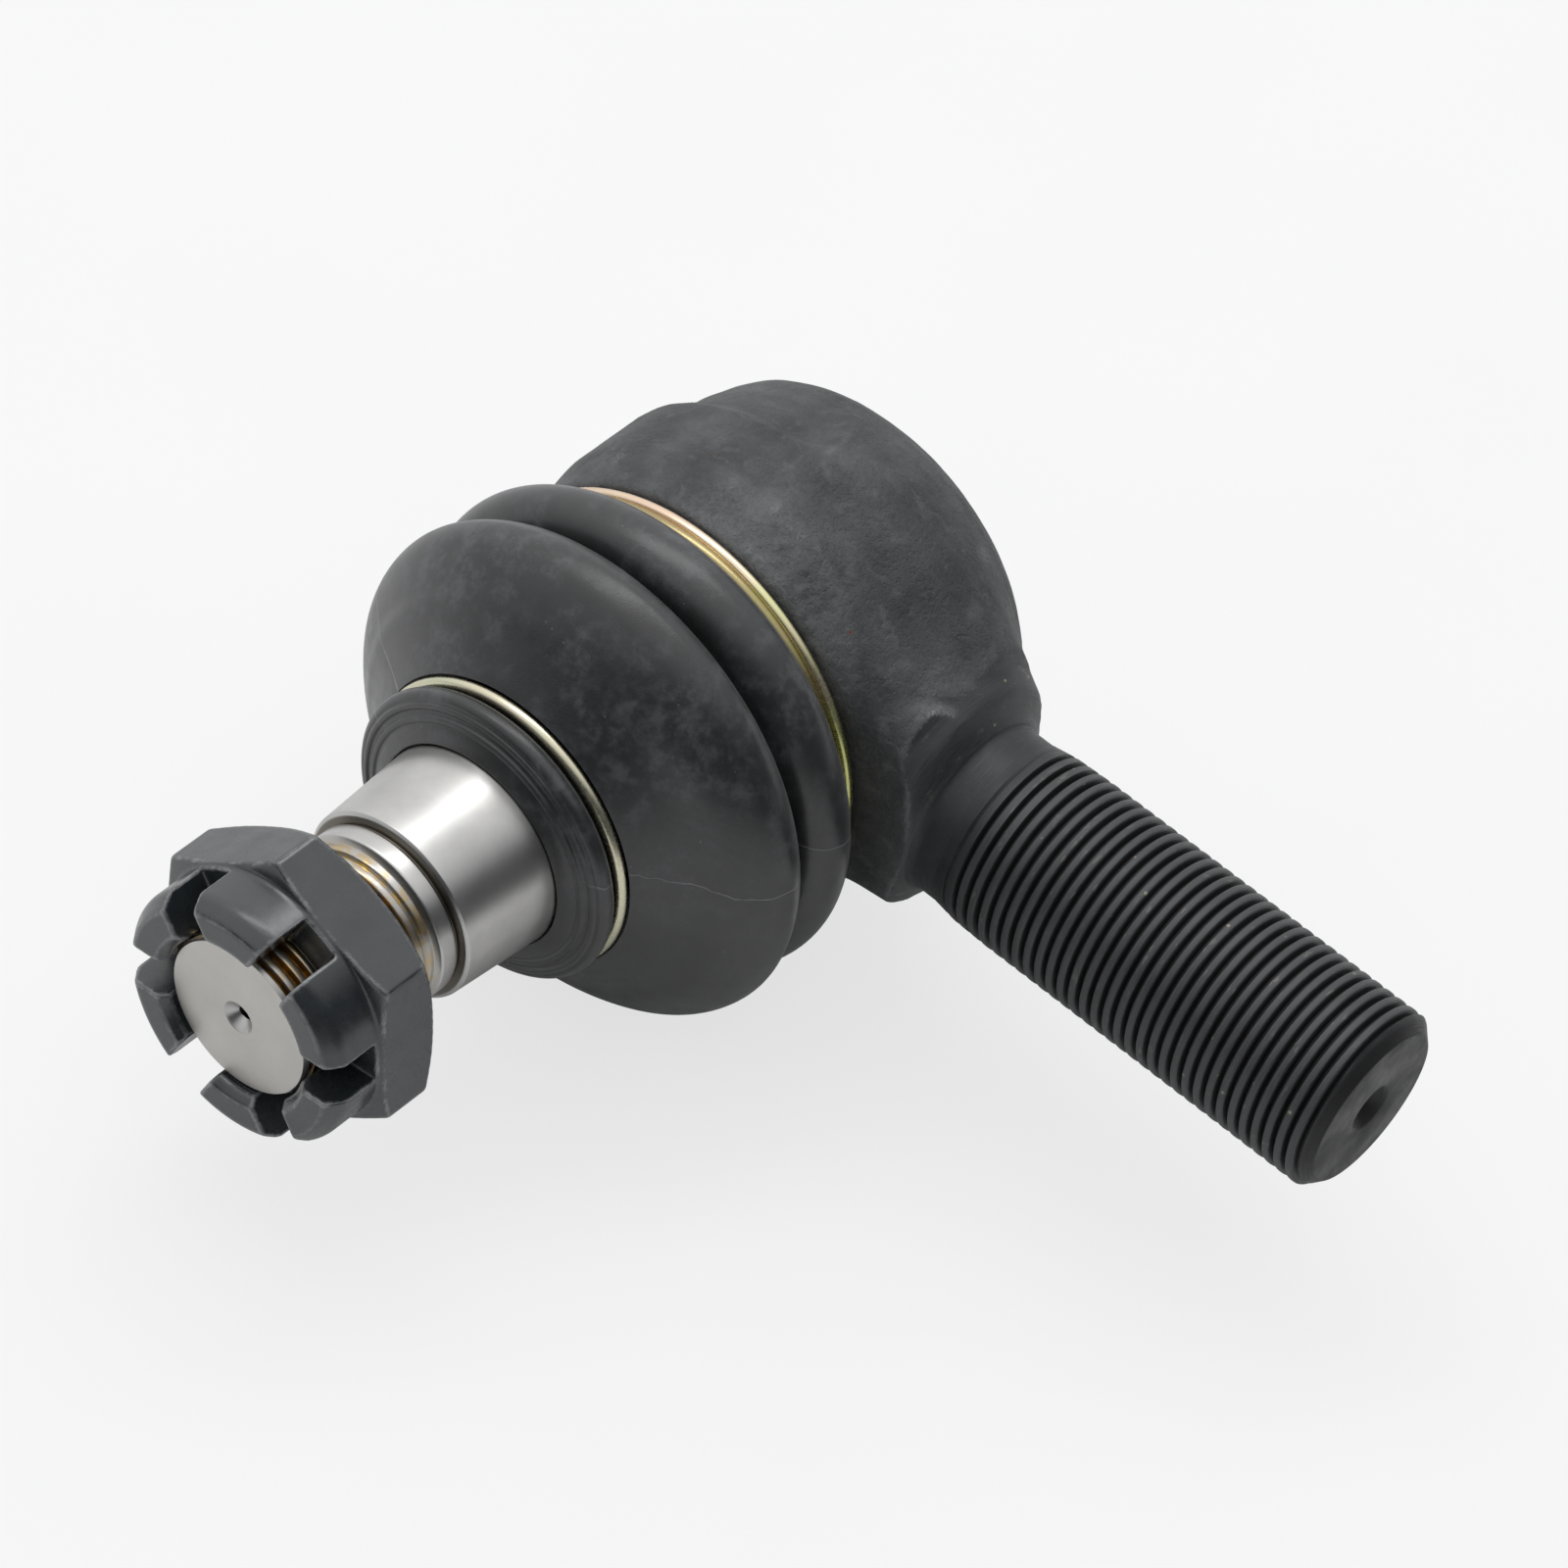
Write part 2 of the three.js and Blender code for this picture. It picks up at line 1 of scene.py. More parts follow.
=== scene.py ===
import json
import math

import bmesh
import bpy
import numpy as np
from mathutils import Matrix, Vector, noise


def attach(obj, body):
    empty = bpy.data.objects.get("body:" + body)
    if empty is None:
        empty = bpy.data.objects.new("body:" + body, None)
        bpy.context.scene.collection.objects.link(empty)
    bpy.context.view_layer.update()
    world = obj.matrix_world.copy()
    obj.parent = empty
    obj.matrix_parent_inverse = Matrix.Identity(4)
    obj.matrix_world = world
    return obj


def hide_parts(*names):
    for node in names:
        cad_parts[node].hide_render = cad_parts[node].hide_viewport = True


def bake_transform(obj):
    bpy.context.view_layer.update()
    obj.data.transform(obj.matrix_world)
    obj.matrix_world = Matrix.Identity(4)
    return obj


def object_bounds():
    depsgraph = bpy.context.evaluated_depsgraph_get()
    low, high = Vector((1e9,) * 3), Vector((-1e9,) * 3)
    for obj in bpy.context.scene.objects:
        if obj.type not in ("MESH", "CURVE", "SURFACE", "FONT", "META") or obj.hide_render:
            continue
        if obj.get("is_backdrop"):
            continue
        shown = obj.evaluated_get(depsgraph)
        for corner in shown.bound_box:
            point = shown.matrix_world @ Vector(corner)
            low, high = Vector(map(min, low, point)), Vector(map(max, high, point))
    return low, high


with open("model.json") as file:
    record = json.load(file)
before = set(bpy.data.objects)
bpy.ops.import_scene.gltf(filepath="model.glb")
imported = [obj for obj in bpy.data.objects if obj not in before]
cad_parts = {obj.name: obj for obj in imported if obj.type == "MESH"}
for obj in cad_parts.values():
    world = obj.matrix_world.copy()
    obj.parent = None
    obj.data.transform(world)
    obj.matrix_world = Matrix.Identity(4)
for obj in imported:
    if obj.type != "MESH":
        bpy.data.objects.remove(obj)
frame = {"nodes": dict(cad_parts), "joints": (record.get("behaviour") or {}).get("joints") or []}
cad_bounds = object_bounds()

# A tie rod end: a forged eye with a threaded shank, a ball stud with a castle nut, a rubber boot.
#
# The frame is in metres: +X runs along the shank, -Y along the stud towards the nut, +Z is up.
# Shapes are written in millimetres as (x, station, z), with the ball's centre at (0, 0, 0), where
# a station is the distance from the ball's centre towards the nut. A profile is a list of
# (radius, station), and an optional third number rounds that corner.

MM = 0.001
TILT = next(joint for joint in frame["joints"] if joint["name"] == "stud_tilt")
BALL = Vector(TILT["pos_m"])

# shank, M28 x 2
SHANK_R = 14.0
SHANK_END = 111.4
PITCH = 2.0
THREAD_DEPTH = 1.2

# eye and neck of the forging
EYE_FRONT = 14.8
EYE_BACK = -23.2
SPIGOT_R = 27.8
SPIGOT_END = 22.5
THREAD_START = 45.6
# The turned waist between the neck and the thread: x, radius
WAIST = [(-40.0, 200.0), (34.6, 22.0), (36.0, 19.5), (37.0, 18.8), (37.8, 18.3), (38.6, 17.7),
         (39.2, 16.8), (39.7, 15.6), (40.3, 14.4), (41.0, 13.5), (41.7, 13.2), (50.0, 13.2)]

# ball stud, M24 x 2
BALL_R = 17.5
STUD_NECK_R = 10.0
STUD_R = 12.0
STUD_THREAD_START = 76.9
STUD_END = 101.5
TAPER_START, TAPER_START_R = 44.0, 16.2
TAPER_END, TAPER_END_R = 72.9, 14.4
RELIEF_R = 12.6
PLAIN_RING_R = 13.0
COTTER_R = 2.5
COTTER_AT = 97.5

# castle nut
NUT_HALF_FLATS = 19.5
NUT_BACK = 84.8
NUT_HEX_END = 94.8
NUT_CROWN_END = 103.5
NUT_CROWN_R = 19.2
NUT_SLOT_WIDTH = 6.2
NUT_SLOT_BOTTOM = 95.4
NUT_TURN = math.radians(9)  # from +X towards +Z, to the middle of a slot

# boot
MOULD_SEAM_Z = 7.6
BOOT_REST_Z = -37.4  # below this the boot gives a little, where it rests on the floor


# ---------- camera, light and floor ----------

CAMERA_AT = Vector((0.38705, -0.62155, 0.76295))
CAMERA_AIM = Vector((0.0150, -0.0286, -0.0125))
CAMERA_ROLL = math.radians(12.45)
LENS_MM = 173.8


def add_camera():
    ahead = (CAMERA_AIM - CAMERA_AT).normalized()
    level = ahead.cross(Vector((0, 0, 1))).normalized()
    upright = level.cross(ahead)
    right = math.cos(CAMERA_ROLL) * level + math.sin(CAMERA_ROLL) * upright
    up = right.cross(ahead)
    data = bpy.data.cameras.new("camera")
    data.lens = LENS_MM
    data.sensor_width = 36
    camera = bpy.data.objects.new("camera", data)
    turn = Matrix((right, up, -ahead)).transposed().to_4x4()
    camera.matrix_world = Matrix.Translation(CAMERA_AT) @ turn
    bpy.context.scene.collection.objects.link(camera)
    bpy.context.scene.camera = camera


def add_softbox(name, at, size, watts):
    data = bpy.data.lights.new(name, "AREA")
    data.shape = "RECTANGLE"
    data.size, data.size_y = size
    data.energy = watts
    box = bpy.data.objects.new(name, data)
    box.location = at
    box.rotation_euler = (CAMERA_AIM - Vector(at)).to_track_quat("-Z", "Y").to_euler()
    bpy.context.scene.collection.objects.link(box)


def add_surroundings():
    """A pale room, bright overhead and to the left and dim low on the right."""
    world = bpy.data.worlds.new("studio")
    bpy.context.scene.world = world
    world.use_nodes = True
    tree = world.node_tree
    tree.nodes.clear()
    place = tree.nodes.new("ShaderNodeTexCoord")
    facing = tree.nodes.new("ShaderNodeVectorMath")
    facing.operation = "DOT_PRODUCT"
    facing.inputs[1].default_value = (-0.55, 0.25, 1.0)
    level = tree.nodes.new("ShaderNodeValToRGB")
    set_stops(level, [(0.15, (0.07, 0.07, 0.075)), (0.43, (0.60, 0.61, 0.62)),
                      (0.73, (0.90, 0.90, 0.91)), (0.93, (1.0, 1.0, 1.0))])
    room = tree.nodes.new("ShaderNodeBackground")
    backdrop = tree.nodes.new("ShaderNodeBackground")
    backdrop.inputs["Color"].default_value = (0.97, 0.97, 0.97, 1)
    output = tree.nodes.new("ShaderNodeOutputWorld")
    tree.links.new(place.outputs["Generated"], facing.inputs[0])
    tree.links.new(facing.outputs["Value"], level.inputs[0])
    tree.links.new(level.outputs[0], room.inputs["Color"])
    both = split_by_camera(tree, room.outputs[0], backdrop.outputs[0], 1.0)
    tree.links.new(both, output.inputs[0])


def split_by_camera(tree, others, seen, share):
    """The camera's rays meet what is seen, for that share, and all other rays meet the others."""
    path = tree.nodes.new("ShaderNodeLightPath")
    amount = tree.nodes.new("ShaderNodeMath")
    amount.operation = "MULTIPLY"
    amount.inputs[1].default_value = share
    either = tree.nodes.new("ShaderNodeMixShader")
    tree.links.new(path.outputs["Is Camera Ray"], amount.inputs[0])
    for socket, value in zip(either.inputs, (amount.outputs[0], others, seen)):
        tree.links.new(value, socket)
    return either.outputs[0]


def add_floor():
    half, cells = 2.5, 24
    low = cad_bounds[0][2]
    line = np.linspace(-half, half, cells + 1)
    points = [(x, y, low) for x in line for y in line]
    row = cells + 1
    faces = [(i * row + j, (i + 1) * row + j, (i + 1) * row + j + 1, i * row + j + 1)
             for i in range(cells) for j in range(cells)]
    floor = add_object("floor", points, faces)
    paint = Paint("floor")
    mottle = paint.noise(paint.place(), 0.02, 3)
    paint.set("Base Color", paint.ramp(mottle, [(0.3, (0.82, 0.82, 0.82)), (0.7, (0.85, 0.85, 0.85))]))
    paint.set("Roughness", 0.9)
    paint.set("Specular IOR Level", 0.1)
    whiten(paint.material, 0.72)
    paint.cover(floor)
    floor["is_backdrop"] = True


def whiten(material, share):
    """The camera sees the floor nearly as pale as the backdrop, with only a faint shadow."""
    tree = material.node_tree
    glow = tree.nodes.new("ShaderNodeEmission")
    glow.inputs["Strength"].default_value = 1.0
    lit = tree.nodes["Principled BSDF"].outputs[0]
    both = split_by_camera(tree, lit, glow.outputs[0], share)
    tree.links.new(both, tree.nodes["Material Output"].inputs[0])


def add_studio():
    bpy.context.scene.view_settings.view_transform = "Standard"
    add_surroundings()
    add_softbox("overhead", (-0.35, 0.16, 1.05), (1.2, 0.35), 3.2)
    add_floor()


# ---------- meshes ----------


def to_frame(points):
    """Millimetres about the ball's centre, as (x, station, z), to metres in the part's frame."""
    points = np.asarray(points, float) * MM
    return points * (1, -1, 1) + np.array(BALL)


def add_object(name, points, faces, sharp=32, weld=0):
    mesh = bpy.data.meshes.new(name)
    mesh.from_pydata([tuple(p) for p in points], [], [tuple(f) for f in faces])
    work = bmesh.new()
    work.from_mesh(mesh)
    if weld:
        bmesh.ops.remove_doubles(work, verts=work.verts, dist=weld)
        bmesh.ops.dissolve_degenerate(work, edges=work.edges, dist=weld)
    bmesh.ops.recalc_face_normals(work, faces=work.faces)
    work.to_mesh(mesh)
    work.free()
    shade(mesh, sharp)
    obj = bpy.data.objects.new(name, mesh)
    bpy.context.scene.collection.objects.link(obj)
    return obj


def shade(mesh, sharp):
    mesh.shade_smooth()
    mesh.set_sharp_from_angle(angle=math.radians(sharp))


def arc(centre_r, centre_station, radius, start, end, steps):
    """Points of an arc in a profile, in degrees from the radial direction towards the nut."""
    turns = np.radians(np.linspace(start, end, steps + 1))
    return [(centre_r + radius * math.cos(t), centre_station + radius * math.sin(t)) for t in turns]


def rounded(profile, closed):
    """The profile with each corner that has a third number rounded over that distance."""
    steps = 5
    corners = [np.array(p[:2], float) for p in profile]
    points = []
    for i, entry in enumerate(profile):
        here = corners[i]
        if len(entry) < 3 or (not closed and i in (0, len(profile) - 1)):
            points.append(tuple(here))
            continue
        sides = []
        for other in (corners[i - 1], corners[(i + 1) % len(corners)]):
            reach = np.linalg.norm(other - here)
            sides.append(here + (other - here) * min(entry[2], 0.45 * reach) / reach)
        for t in np.linspace(0, 1, steps + 1):
            points.append(tuple((1 - t) ** 2 * sides[0] + 2 * t * (1 - t) * here + t * t * sides[1]))
    return points


def smooth_line(points, steps):
    """A Catmull-Rom curve through the points, with that many steps between each two."""
    points = np.array(points, float)
    ends = [2 * points[0] - points[1], *points, 2 * points[-1] - points[-2]]
    line = []
    for a, b, c, d in zip(ends, ends[1:], ends[2:], ends[3:]):
        for t in np.arange(steps) / steps:
            line.append(0.5 * (2 * b + (c - a) * t + (2 * a - 5 * b + 4 * c - d) * t * t
                               + (3 * b - a - 3 * c + d) * t ** 3))
    return [tuple(p) for p in [*line, points[-1]]]


def turned(name, profile, sides=160, closed=True, sharp=32, wobble=None):
    """A piece turned about the eye's axis. An open profile starts and ends on the axis."""
    points, rings = [], []
    for radius, station in rounded(profile, closed):
        count = 1 if radius < 1e-6 else sides
        rings.append(range(len(points), len(points) + count))
        for i in range(count):
            angle = 2 * math.pi * i / sides
            points.append((radius * math.cos(angle), station, radius * math.sin(angle)))
    pairs = list(zip(rings, rings[1:])) + ([(rings[-1], rings[0])] if closed else [])
    faces = []
    for a, b in pairs:
        for i in range(sides):
            j = (i + 1) % sides
            corners = (a[i % len(a)], a[j % len(a)], b[j % len(b)], b[i % len(b)])
            corners = list(dict.fromkeys(corners))
            if len(corners) > 2:
                faces.append(corners)
    points = np.array(points)
    if wobble:
        points = wobble(points)
    return add_object(name, to_frame(points), faces, sharp)


def boolean(piece, other, operation):
    """The result of a boolean takes the place of the piece's mesh, and the other piece goes."""
    cut = piece.modifiers.new("cut", "BOOLEAN")
    cut.solver = "MANIFOLD"
    cut.operation = operation
    cut.object = other
    bpy.context.view_layer.update()
    result = piece.evaluated_get(bpy.context.evaluated_depsgraph_get())
    mesh = bpy.data.meshes.new_from_object(result)
    piece.modifiers.clear()
    piece.data = mesh
    bpy.data.objects.remove(other)


def surface_net(values):
    """Points and four-sided faces of the surface where an array of distances crosses zero."""
    inside = values < 0
    cells = tuple(n - 1 for n in values.shape)
    quads = []
    sums = np.zeros((int(np.prod(cells)), 3))
    hits = np.zeros(len(sums))
    for axis in range(3):
        low = [slice(None)] * 3
        high = [slice(None)] * 3
        low[axis], high[axis] = slice(0, -1), slice(1, None)
        low, high = tuple(low), tuple(high)
        where = np.argwhere(inside[low] != inside[high])
        near = values[low][tuple(where.T)]
        far = values[high][tuple(where.T)]
        crossing = where.astype(float)
        crossing[:, axis] += near / (near - far)
        across = [a for a in range(3) if a != axis]
        around = []
        keep = np.ones(len(where), bool)
        for back_a, back_b in ((0, 0), (1, 0), (1, 1), (0, 1)):
            cell = where.copy()
            cell[:, across[0]] -= back_a
            cell[:, across[1]] -= back_b
            keep &= np.all((cell >= 0) & (cell < cells), axis=1)
            around.append(cell)
        around = [np.ravel_multi_index(tuple(c[keep].T), cells) for c in around]
        for cell in around:
            np.add.at(sums, cell, crossing[keep])
            np.add.at(hits, cell, 1)
        quads.append(np.stack(around, axis=1))
    quads = np.concatenate(quads)
    used, index = np.unique(quads, return_inverse=True)
    return sums[used] / hits[used][:, None], index.reshape(quads.shape)


def shaped(name, field, low, high, step, sharp=40, adjust=None):
    """A piece whose surface is where field(x, station, z), a distance in millimetres, is zero."""
    lines = [np.arange(a, b + step, step) for a, b in zip(low, high)]
    grid = np.meshgrid(*lines, indexing="ij")
    points, faces = surface_net(field(*grid))
    points = points * step + np.array(low)
    if adjust:
        points = adjust(points)
    return add_object(name, to_frame(points), faces, sharp)


def blend_max(a, b, size):
    """The larger of two distances, with the edge between them rounded over that size."""
    near = np.maximum(size - np.abs(a - b), 0) / size
    return np.maximum(a, b) + near * near * size / 4


def blend_min(a, b, size):
    return -blend_max(-a, -b, size)


def ease(values, start, end):
    t = np.clip((np.asarray(values, float) - start) / (end - start), 0, 1)
    return t * t * (3 - 2 * t)


def lumps(points, wavelength, seed):
    """Smooth noise from about -1 to 1 at each point."""
    shift = Vector((seed, 2 * seed, 3 * seed))
    return np.array([noise.fractal(Vector(p) / wavelength + shift, 1.0, 2.0, 3) for p in points])


def store(obj, name, values):
    attribute = obj.data.attributes.new(name, "FLOAT", "POINT")
    attribute.data.foreach_set("value", np.asarray(values, np.float32))


def read(items, name, width, kind=float):
    """A property of every item of a mesh, with one item in a row."""
    flat = np.empty(len(items) * width, kind)
    items.foreach_get(name, flat)
    return flat.reshape(-1, width)


def edge_wear(obj, reach):
    """How far each point stands out from its surroundings, in millimetres along its normal: 0 on flats,
    more on outer edges.
    """
    a, b = read(obj.data.edges, "vertices", 2, int).T
    points = read(obj.data.vertices, "co", 3)
    normals = read(obj.data.vertices, "normal", 3)
    degree = np.bincount(a, minlength=len(points)) + np.bincount(b, minlength=len(points))
    smooth = points.copy()
    for _ in range(reach):
        total = np.zeros_like(points)
        np.add.at(total, a, smooth[b])
        np.add.at(total, b, smooth[a])
        smooth = total / np.maximum(degree, 1)[:, None]
    return ((points - smooth) * normals).sum(axis=1) / MM


# ---------- threads ----------

# A thread's groove across one pitch: (share of the pitch, share of the depth).
GROOVE = [(0.0, 0.0), (0.10, 0.0), (0.20, 0.02), (0.255, 0.08), (0.31, 0.32), (0.37, 0.68),
          (0.42, 0.94), (0.47, 1.0), (0.53, 1.0), (0.58, 0.94), (0.63, 0.68), (0.69, 0.32),
          (0.745, 0.08), (0.80, 0.02), (0.90, 0.0)]


def threaded(name, place, before, after, crest_r, start, end, envelope):
    """A rod with a right-handed thread from start to end, along an axis given by place().
    The rows of the mesh follow the helix. before and after are plain profiles that close the rod."""
    sides = 96
    share, cut = np.array(GROOVE).T
    per_turn = len(share)
    turns = int(math.ceil((end - start) / PITCH)) + 1
    column = np.arange(-per_turn, turns * per_turn)
    turn = np.arange(sides) / sides
    reach = PITCH * (column // per_turn + share[column % per_turn] + turn[:, None]) + start
    along = np.clip(reach, start, end)
    run_in = ease(along, start, start + 1.6 * PITCH)
    radius = crest_r - THREAD_DEPTH * run_in * cut[column % per_turn]
    radius = np.minimum(np.where(reach < end, radius, crest_r), envelope(along))
    angle = np.broadcast_to(2 * np.pi * turn[:, None], along.shape)
    rod = place(radius, angle, along).reshape(-1, 3)
    count = len(column)
    i, j = np.meshgrid(np.arange(sides), np.arange(count - 1), indexing="ij")
    ahead = np.where(i + 1 < sides, 0, per_turn)  # a turn later is the next row of the helix
    fits = j + 1 + ahead < count
    i, j, ahead = i[fits], j[fits], ahead[fits]
    following = ((i + 1) % sides) * count + j + ahead
    faces = np.stack([i * count + j, following, following + 1, i * count + j + 1], axis=1)
    points, faces = [rod], faces.tolist()
    total = len(rod)
    for rings, inner in ((before, 0), (after, count - 1)):
        last = np.arange(sides) * count + inner
        for ring_r, ring_along in rings:
            if ring_r < 1e-6:
                points.append(place(np.array([0.0]), np.array([0.0]), np.array([ring_along])))
                faces += [(last[k], last[(k + 1) % sides], total) for k in range(sides)]
                total += 1
                continue
            ring = place(np.full(sides, ring_r), 2 * np.pi * turn, np.full(sides, ring_along))
            points.append(ring)
            here = np.arange(sides) + total
            faces += [(last[k], last[(k + 1) % sides], here[(k + 1) % sides], here[k])
                      for k in range(sides)]
            last = here
            total += sides
    return add_object(name, to_frame(np.concatenate(points)), faces, sharp=30, weld=2e-6)


def about_shank(radius, angle, along):
    return np.stack([along, -radius * np.cos(angle), radius * np.sin(angle)], axis=-1)


def about_stud(radius, angle, along):
    return np.stack([radius * np.cos(angle), along, radius * np.sin(angle)], axis=-1)


# ---------- materials ----------


def set_stops(ramp_node, stops):
    elements = ramp_node.color_ramp.elements
    while len(elements) > 1:
        elements.remove(elements[-1])
    for i, (at, colour) in enumerate(stops):
        element = elements[0] if i == 0 else elements.new(at)
        element.position = at
        element.color = (*colour, 1)


class Paint:
    """A material being built: each method adds a node and returns the socket it gives."""

    def __init__(self, name):
        self.material = bpy.data.materials.new(name)
        self.material.use_nodes = True
        self.tree = self.material.node_tree
        self.shader = self.tree.nodes["Principled BSDF"]

    def join(self, value, socket):
        if isinstance(value, bpy.types.NodeSocket):
            self.tree.links.new(value, socket)
        elif socket.type == "RGBA":
            socket.default_value = (*value, 1)
        else:
            socket.default_value = value

    def set(self, name, value):
        self.join(value, self.shader.inputs[name])

    def surface(self, colour, metallic, roughness):
        self.set("Base Color", colour)
        self.set("Metallic", metallic)
        self.set("Roughness", roughness)

    def place(self):
        """The point on the piece at rest, in millimetres, in the part's frame."""
        where = self.tree.nodes.new("ShaderNodeTexCoord")
        mapping = self.tree.nodes.new("ShaderNodeMapping")
        self.tree.links.new(where.outputs["Object"], mapping.inputs["Vector"])
        mapping.inputs["Scale"].default_value = (1 / MM, 1 / MM, 1 / MM)
        return mapping.outputs[0]

    def split(self, vector):
        node = self.tree.nodes.new("ShaderNodeSeparateXYZ")
        self.join(vector, node.inputs[0])
        return node.outputs

    def combine(self, x, y, z):
        node = self.tree.nodes.new("ShaderNodeCombineXYZ")
        for value, socket in zip((x, y, z), node.inputs):
            self.join(value, socket)
        return node.outputs[0]

    def noise(self, vector, scale, detail=2.0, roughness=0.5, distortion=0.0):
        node = self.tree.nodes.new("ShaderNodeTexNoise")
        self.join(vector, node.inputs["Vector"])
        node.inputs["Scale"].default_value = scale
        node.inputs["Detail"].default_value = detail
        node.inputs["Roughness"].default_value = roughness
        node.inputs["Distortion"].default_value = distortion
        return node.outputs[0]

    def cells(self, vector, scale, what="Distance"):
        node = self.tree.nodes.new("ShaderNodeTexVoronoi")
        self.join(vector, node.inputs["Vector"])
        node.inputs["Scale"].default_value = scale
        return node.outputs[what]

    def ramp(self, value, stops):
        node = self.tree.nodes.new("ShaderNodeValToRGB")
        set_stops(node, stops)
        self.join(value, node.inputs[0])
        return node.outputs[0]

    def math(self, operation, a, b=0.0):
        node = self.tree.nodes.new("ShaderNodeMath")
        node.operation = operation
        self.join(a, node.inputs[0])
        self.join(b, node.inputs[1])
        return node.outputs[0]

    def times(self, a, b):
        return self.math("MULTIPLY", a, b)

    def plus(self, a, b):
        return self.math("ADD", a, b)

    def distance(self, a, b):
        return self.math("SQRT", self.plus(self.times(a, a), self.times(b, b)))

    def streaks(self, parts, scales, detail, roughness):
        """Noise that is drawn out along the parts with a small scale."""
        scaled = [self.times(part, scale) for part, scale in zip(parts, scales)]
        return self.noise(self.combine(*scaled), 1.0, detail, roughness)

    def span(self, value, start, end, low=0.0, high=1.0):
        """From low to high as the value goes from start to end, either way round."""
        node = self.tree.nodes.new("ShaderNodeMapRange")
        node.interpolation_type = "SMOOTHSTEP"
        self.join(value, node.inputs["Value"])
        reverse = start > end
        node.inputs["From Min"].default_value = end if reverse else start
        node.inputs["From Max"].default_value = start if reverse else end
        node.inputs["To Min"].default_value = high if reverse else low
        node.inputs["To Max"].default_value = low if reverse else high
        return node.outputs[0]

    def mix(self, share, a, b):
        node = self.tree.nodes.new("ShaderNodeMix")
        node.data_type = "RGBA"
        self.join(share, node.inputs[0])
        self.join(a, node.inputs[6])
        self.join(b, node.inputs[7])
        return node.outputs[2]

    def attribute(self, name):
        node = self.tree.nodes.new("ShaderNodeAttribute")
        node.attribute_name = name
        return node.outputs["Fac"]

    def bump(self, height, depth_mm, strength):
        node = self.tree.nodes.new("ShaderNodeBump")
        node.inputs["Strength"].default_value = strength
        node.inputs["Distance"].default_value = depth_mm * MM
        self.join(height, node.inputs["Height"])
        self.join(node.outputs[0], self.shader.inputs["Normal"])

    def cover(self, *pieces):
        for piece in pieces:
            slots = piece.data.materials
            if len(slots) == 0:
                slots.append(self.material)
            for i in range(len(slots)):
                slots[i] = self.material


def around_axis(paint, point):
    """Distance from the stud's axis and station, in millimetres, of a point in millimetres."""
    x, y, z = paint.split(point)
    radius = paint.distance(x, z)
    station = paint.math("SUBTRACT", BALL.y / MM, y)
    return radius, station, x, z


def forged_steel():
    paint = Paint("forged_steel")
    point = paint.place()
    clouds = paint.noise(point, 0.09, 6, 0.62)
    patches = paint.noise(point, 0.33, 5, 0.6, 0.6)
    grain = paint.noise(point, 2.6, 3, 0.6)
    colour = paint.ramp(clouds, [(0.36, (0.043, 0.046, 0.048)), (0.50, (0.068, 0.072, 0.074)),
                                 (0.66, (0.100, 0.104, 0.105))])
    dust = paint.span(patches, 0.50, 0.70, 0, 0.45)
    colour = paint.mix(dust, colour, (0.150, 0.154, 0.154))
    colour = paint.mix(paint.span(grain, 0.52, 0.75, 0, 0.5), colour, (0.022, 0.023, 0.025))
    worn = paint.times(paint.attribute("worn"), paint.span(grain, 0.32, 0.62, 0.1, 0.8))
    colour = paint.mix(worn, colour, (0.22, 0.22, 0.23))
    red, green, _ = paint.split(paint.cells(point, 0.55, "Color"))
    close = paint.span(paint.cells(point, 0.55), 0.22, 0.10)
    greenish = paint.times(close, paint.span(red, 0.95, 0.97, 0, 0.5))
    reddish = paint.times(close, paint.span(green, 0.985, 0.995, 0, 0.7))
    colour = paint.mix(greenish, colour, (0.06, 0.11, 0.06))
    colour = paint.mix(reddish, colour, (0.16, 0.05, 0.03))
    rough = paint.span(patches, 0.3, 0.75, 0.50, 0.66)
    paint.surface(colour, 0.25, paint.math("SUBTRACT", rough, paint.times(worn, 0.12)))
    pits = paint.span(paint.noise(point, 1.1, 4, 0.65), 0.28, 0.55)
    height = paint.plus(paint.times(pits, 0.55), paint.times(grain, 0.45))
    paint.bump(height, 0.16, 0.8)
    return paint


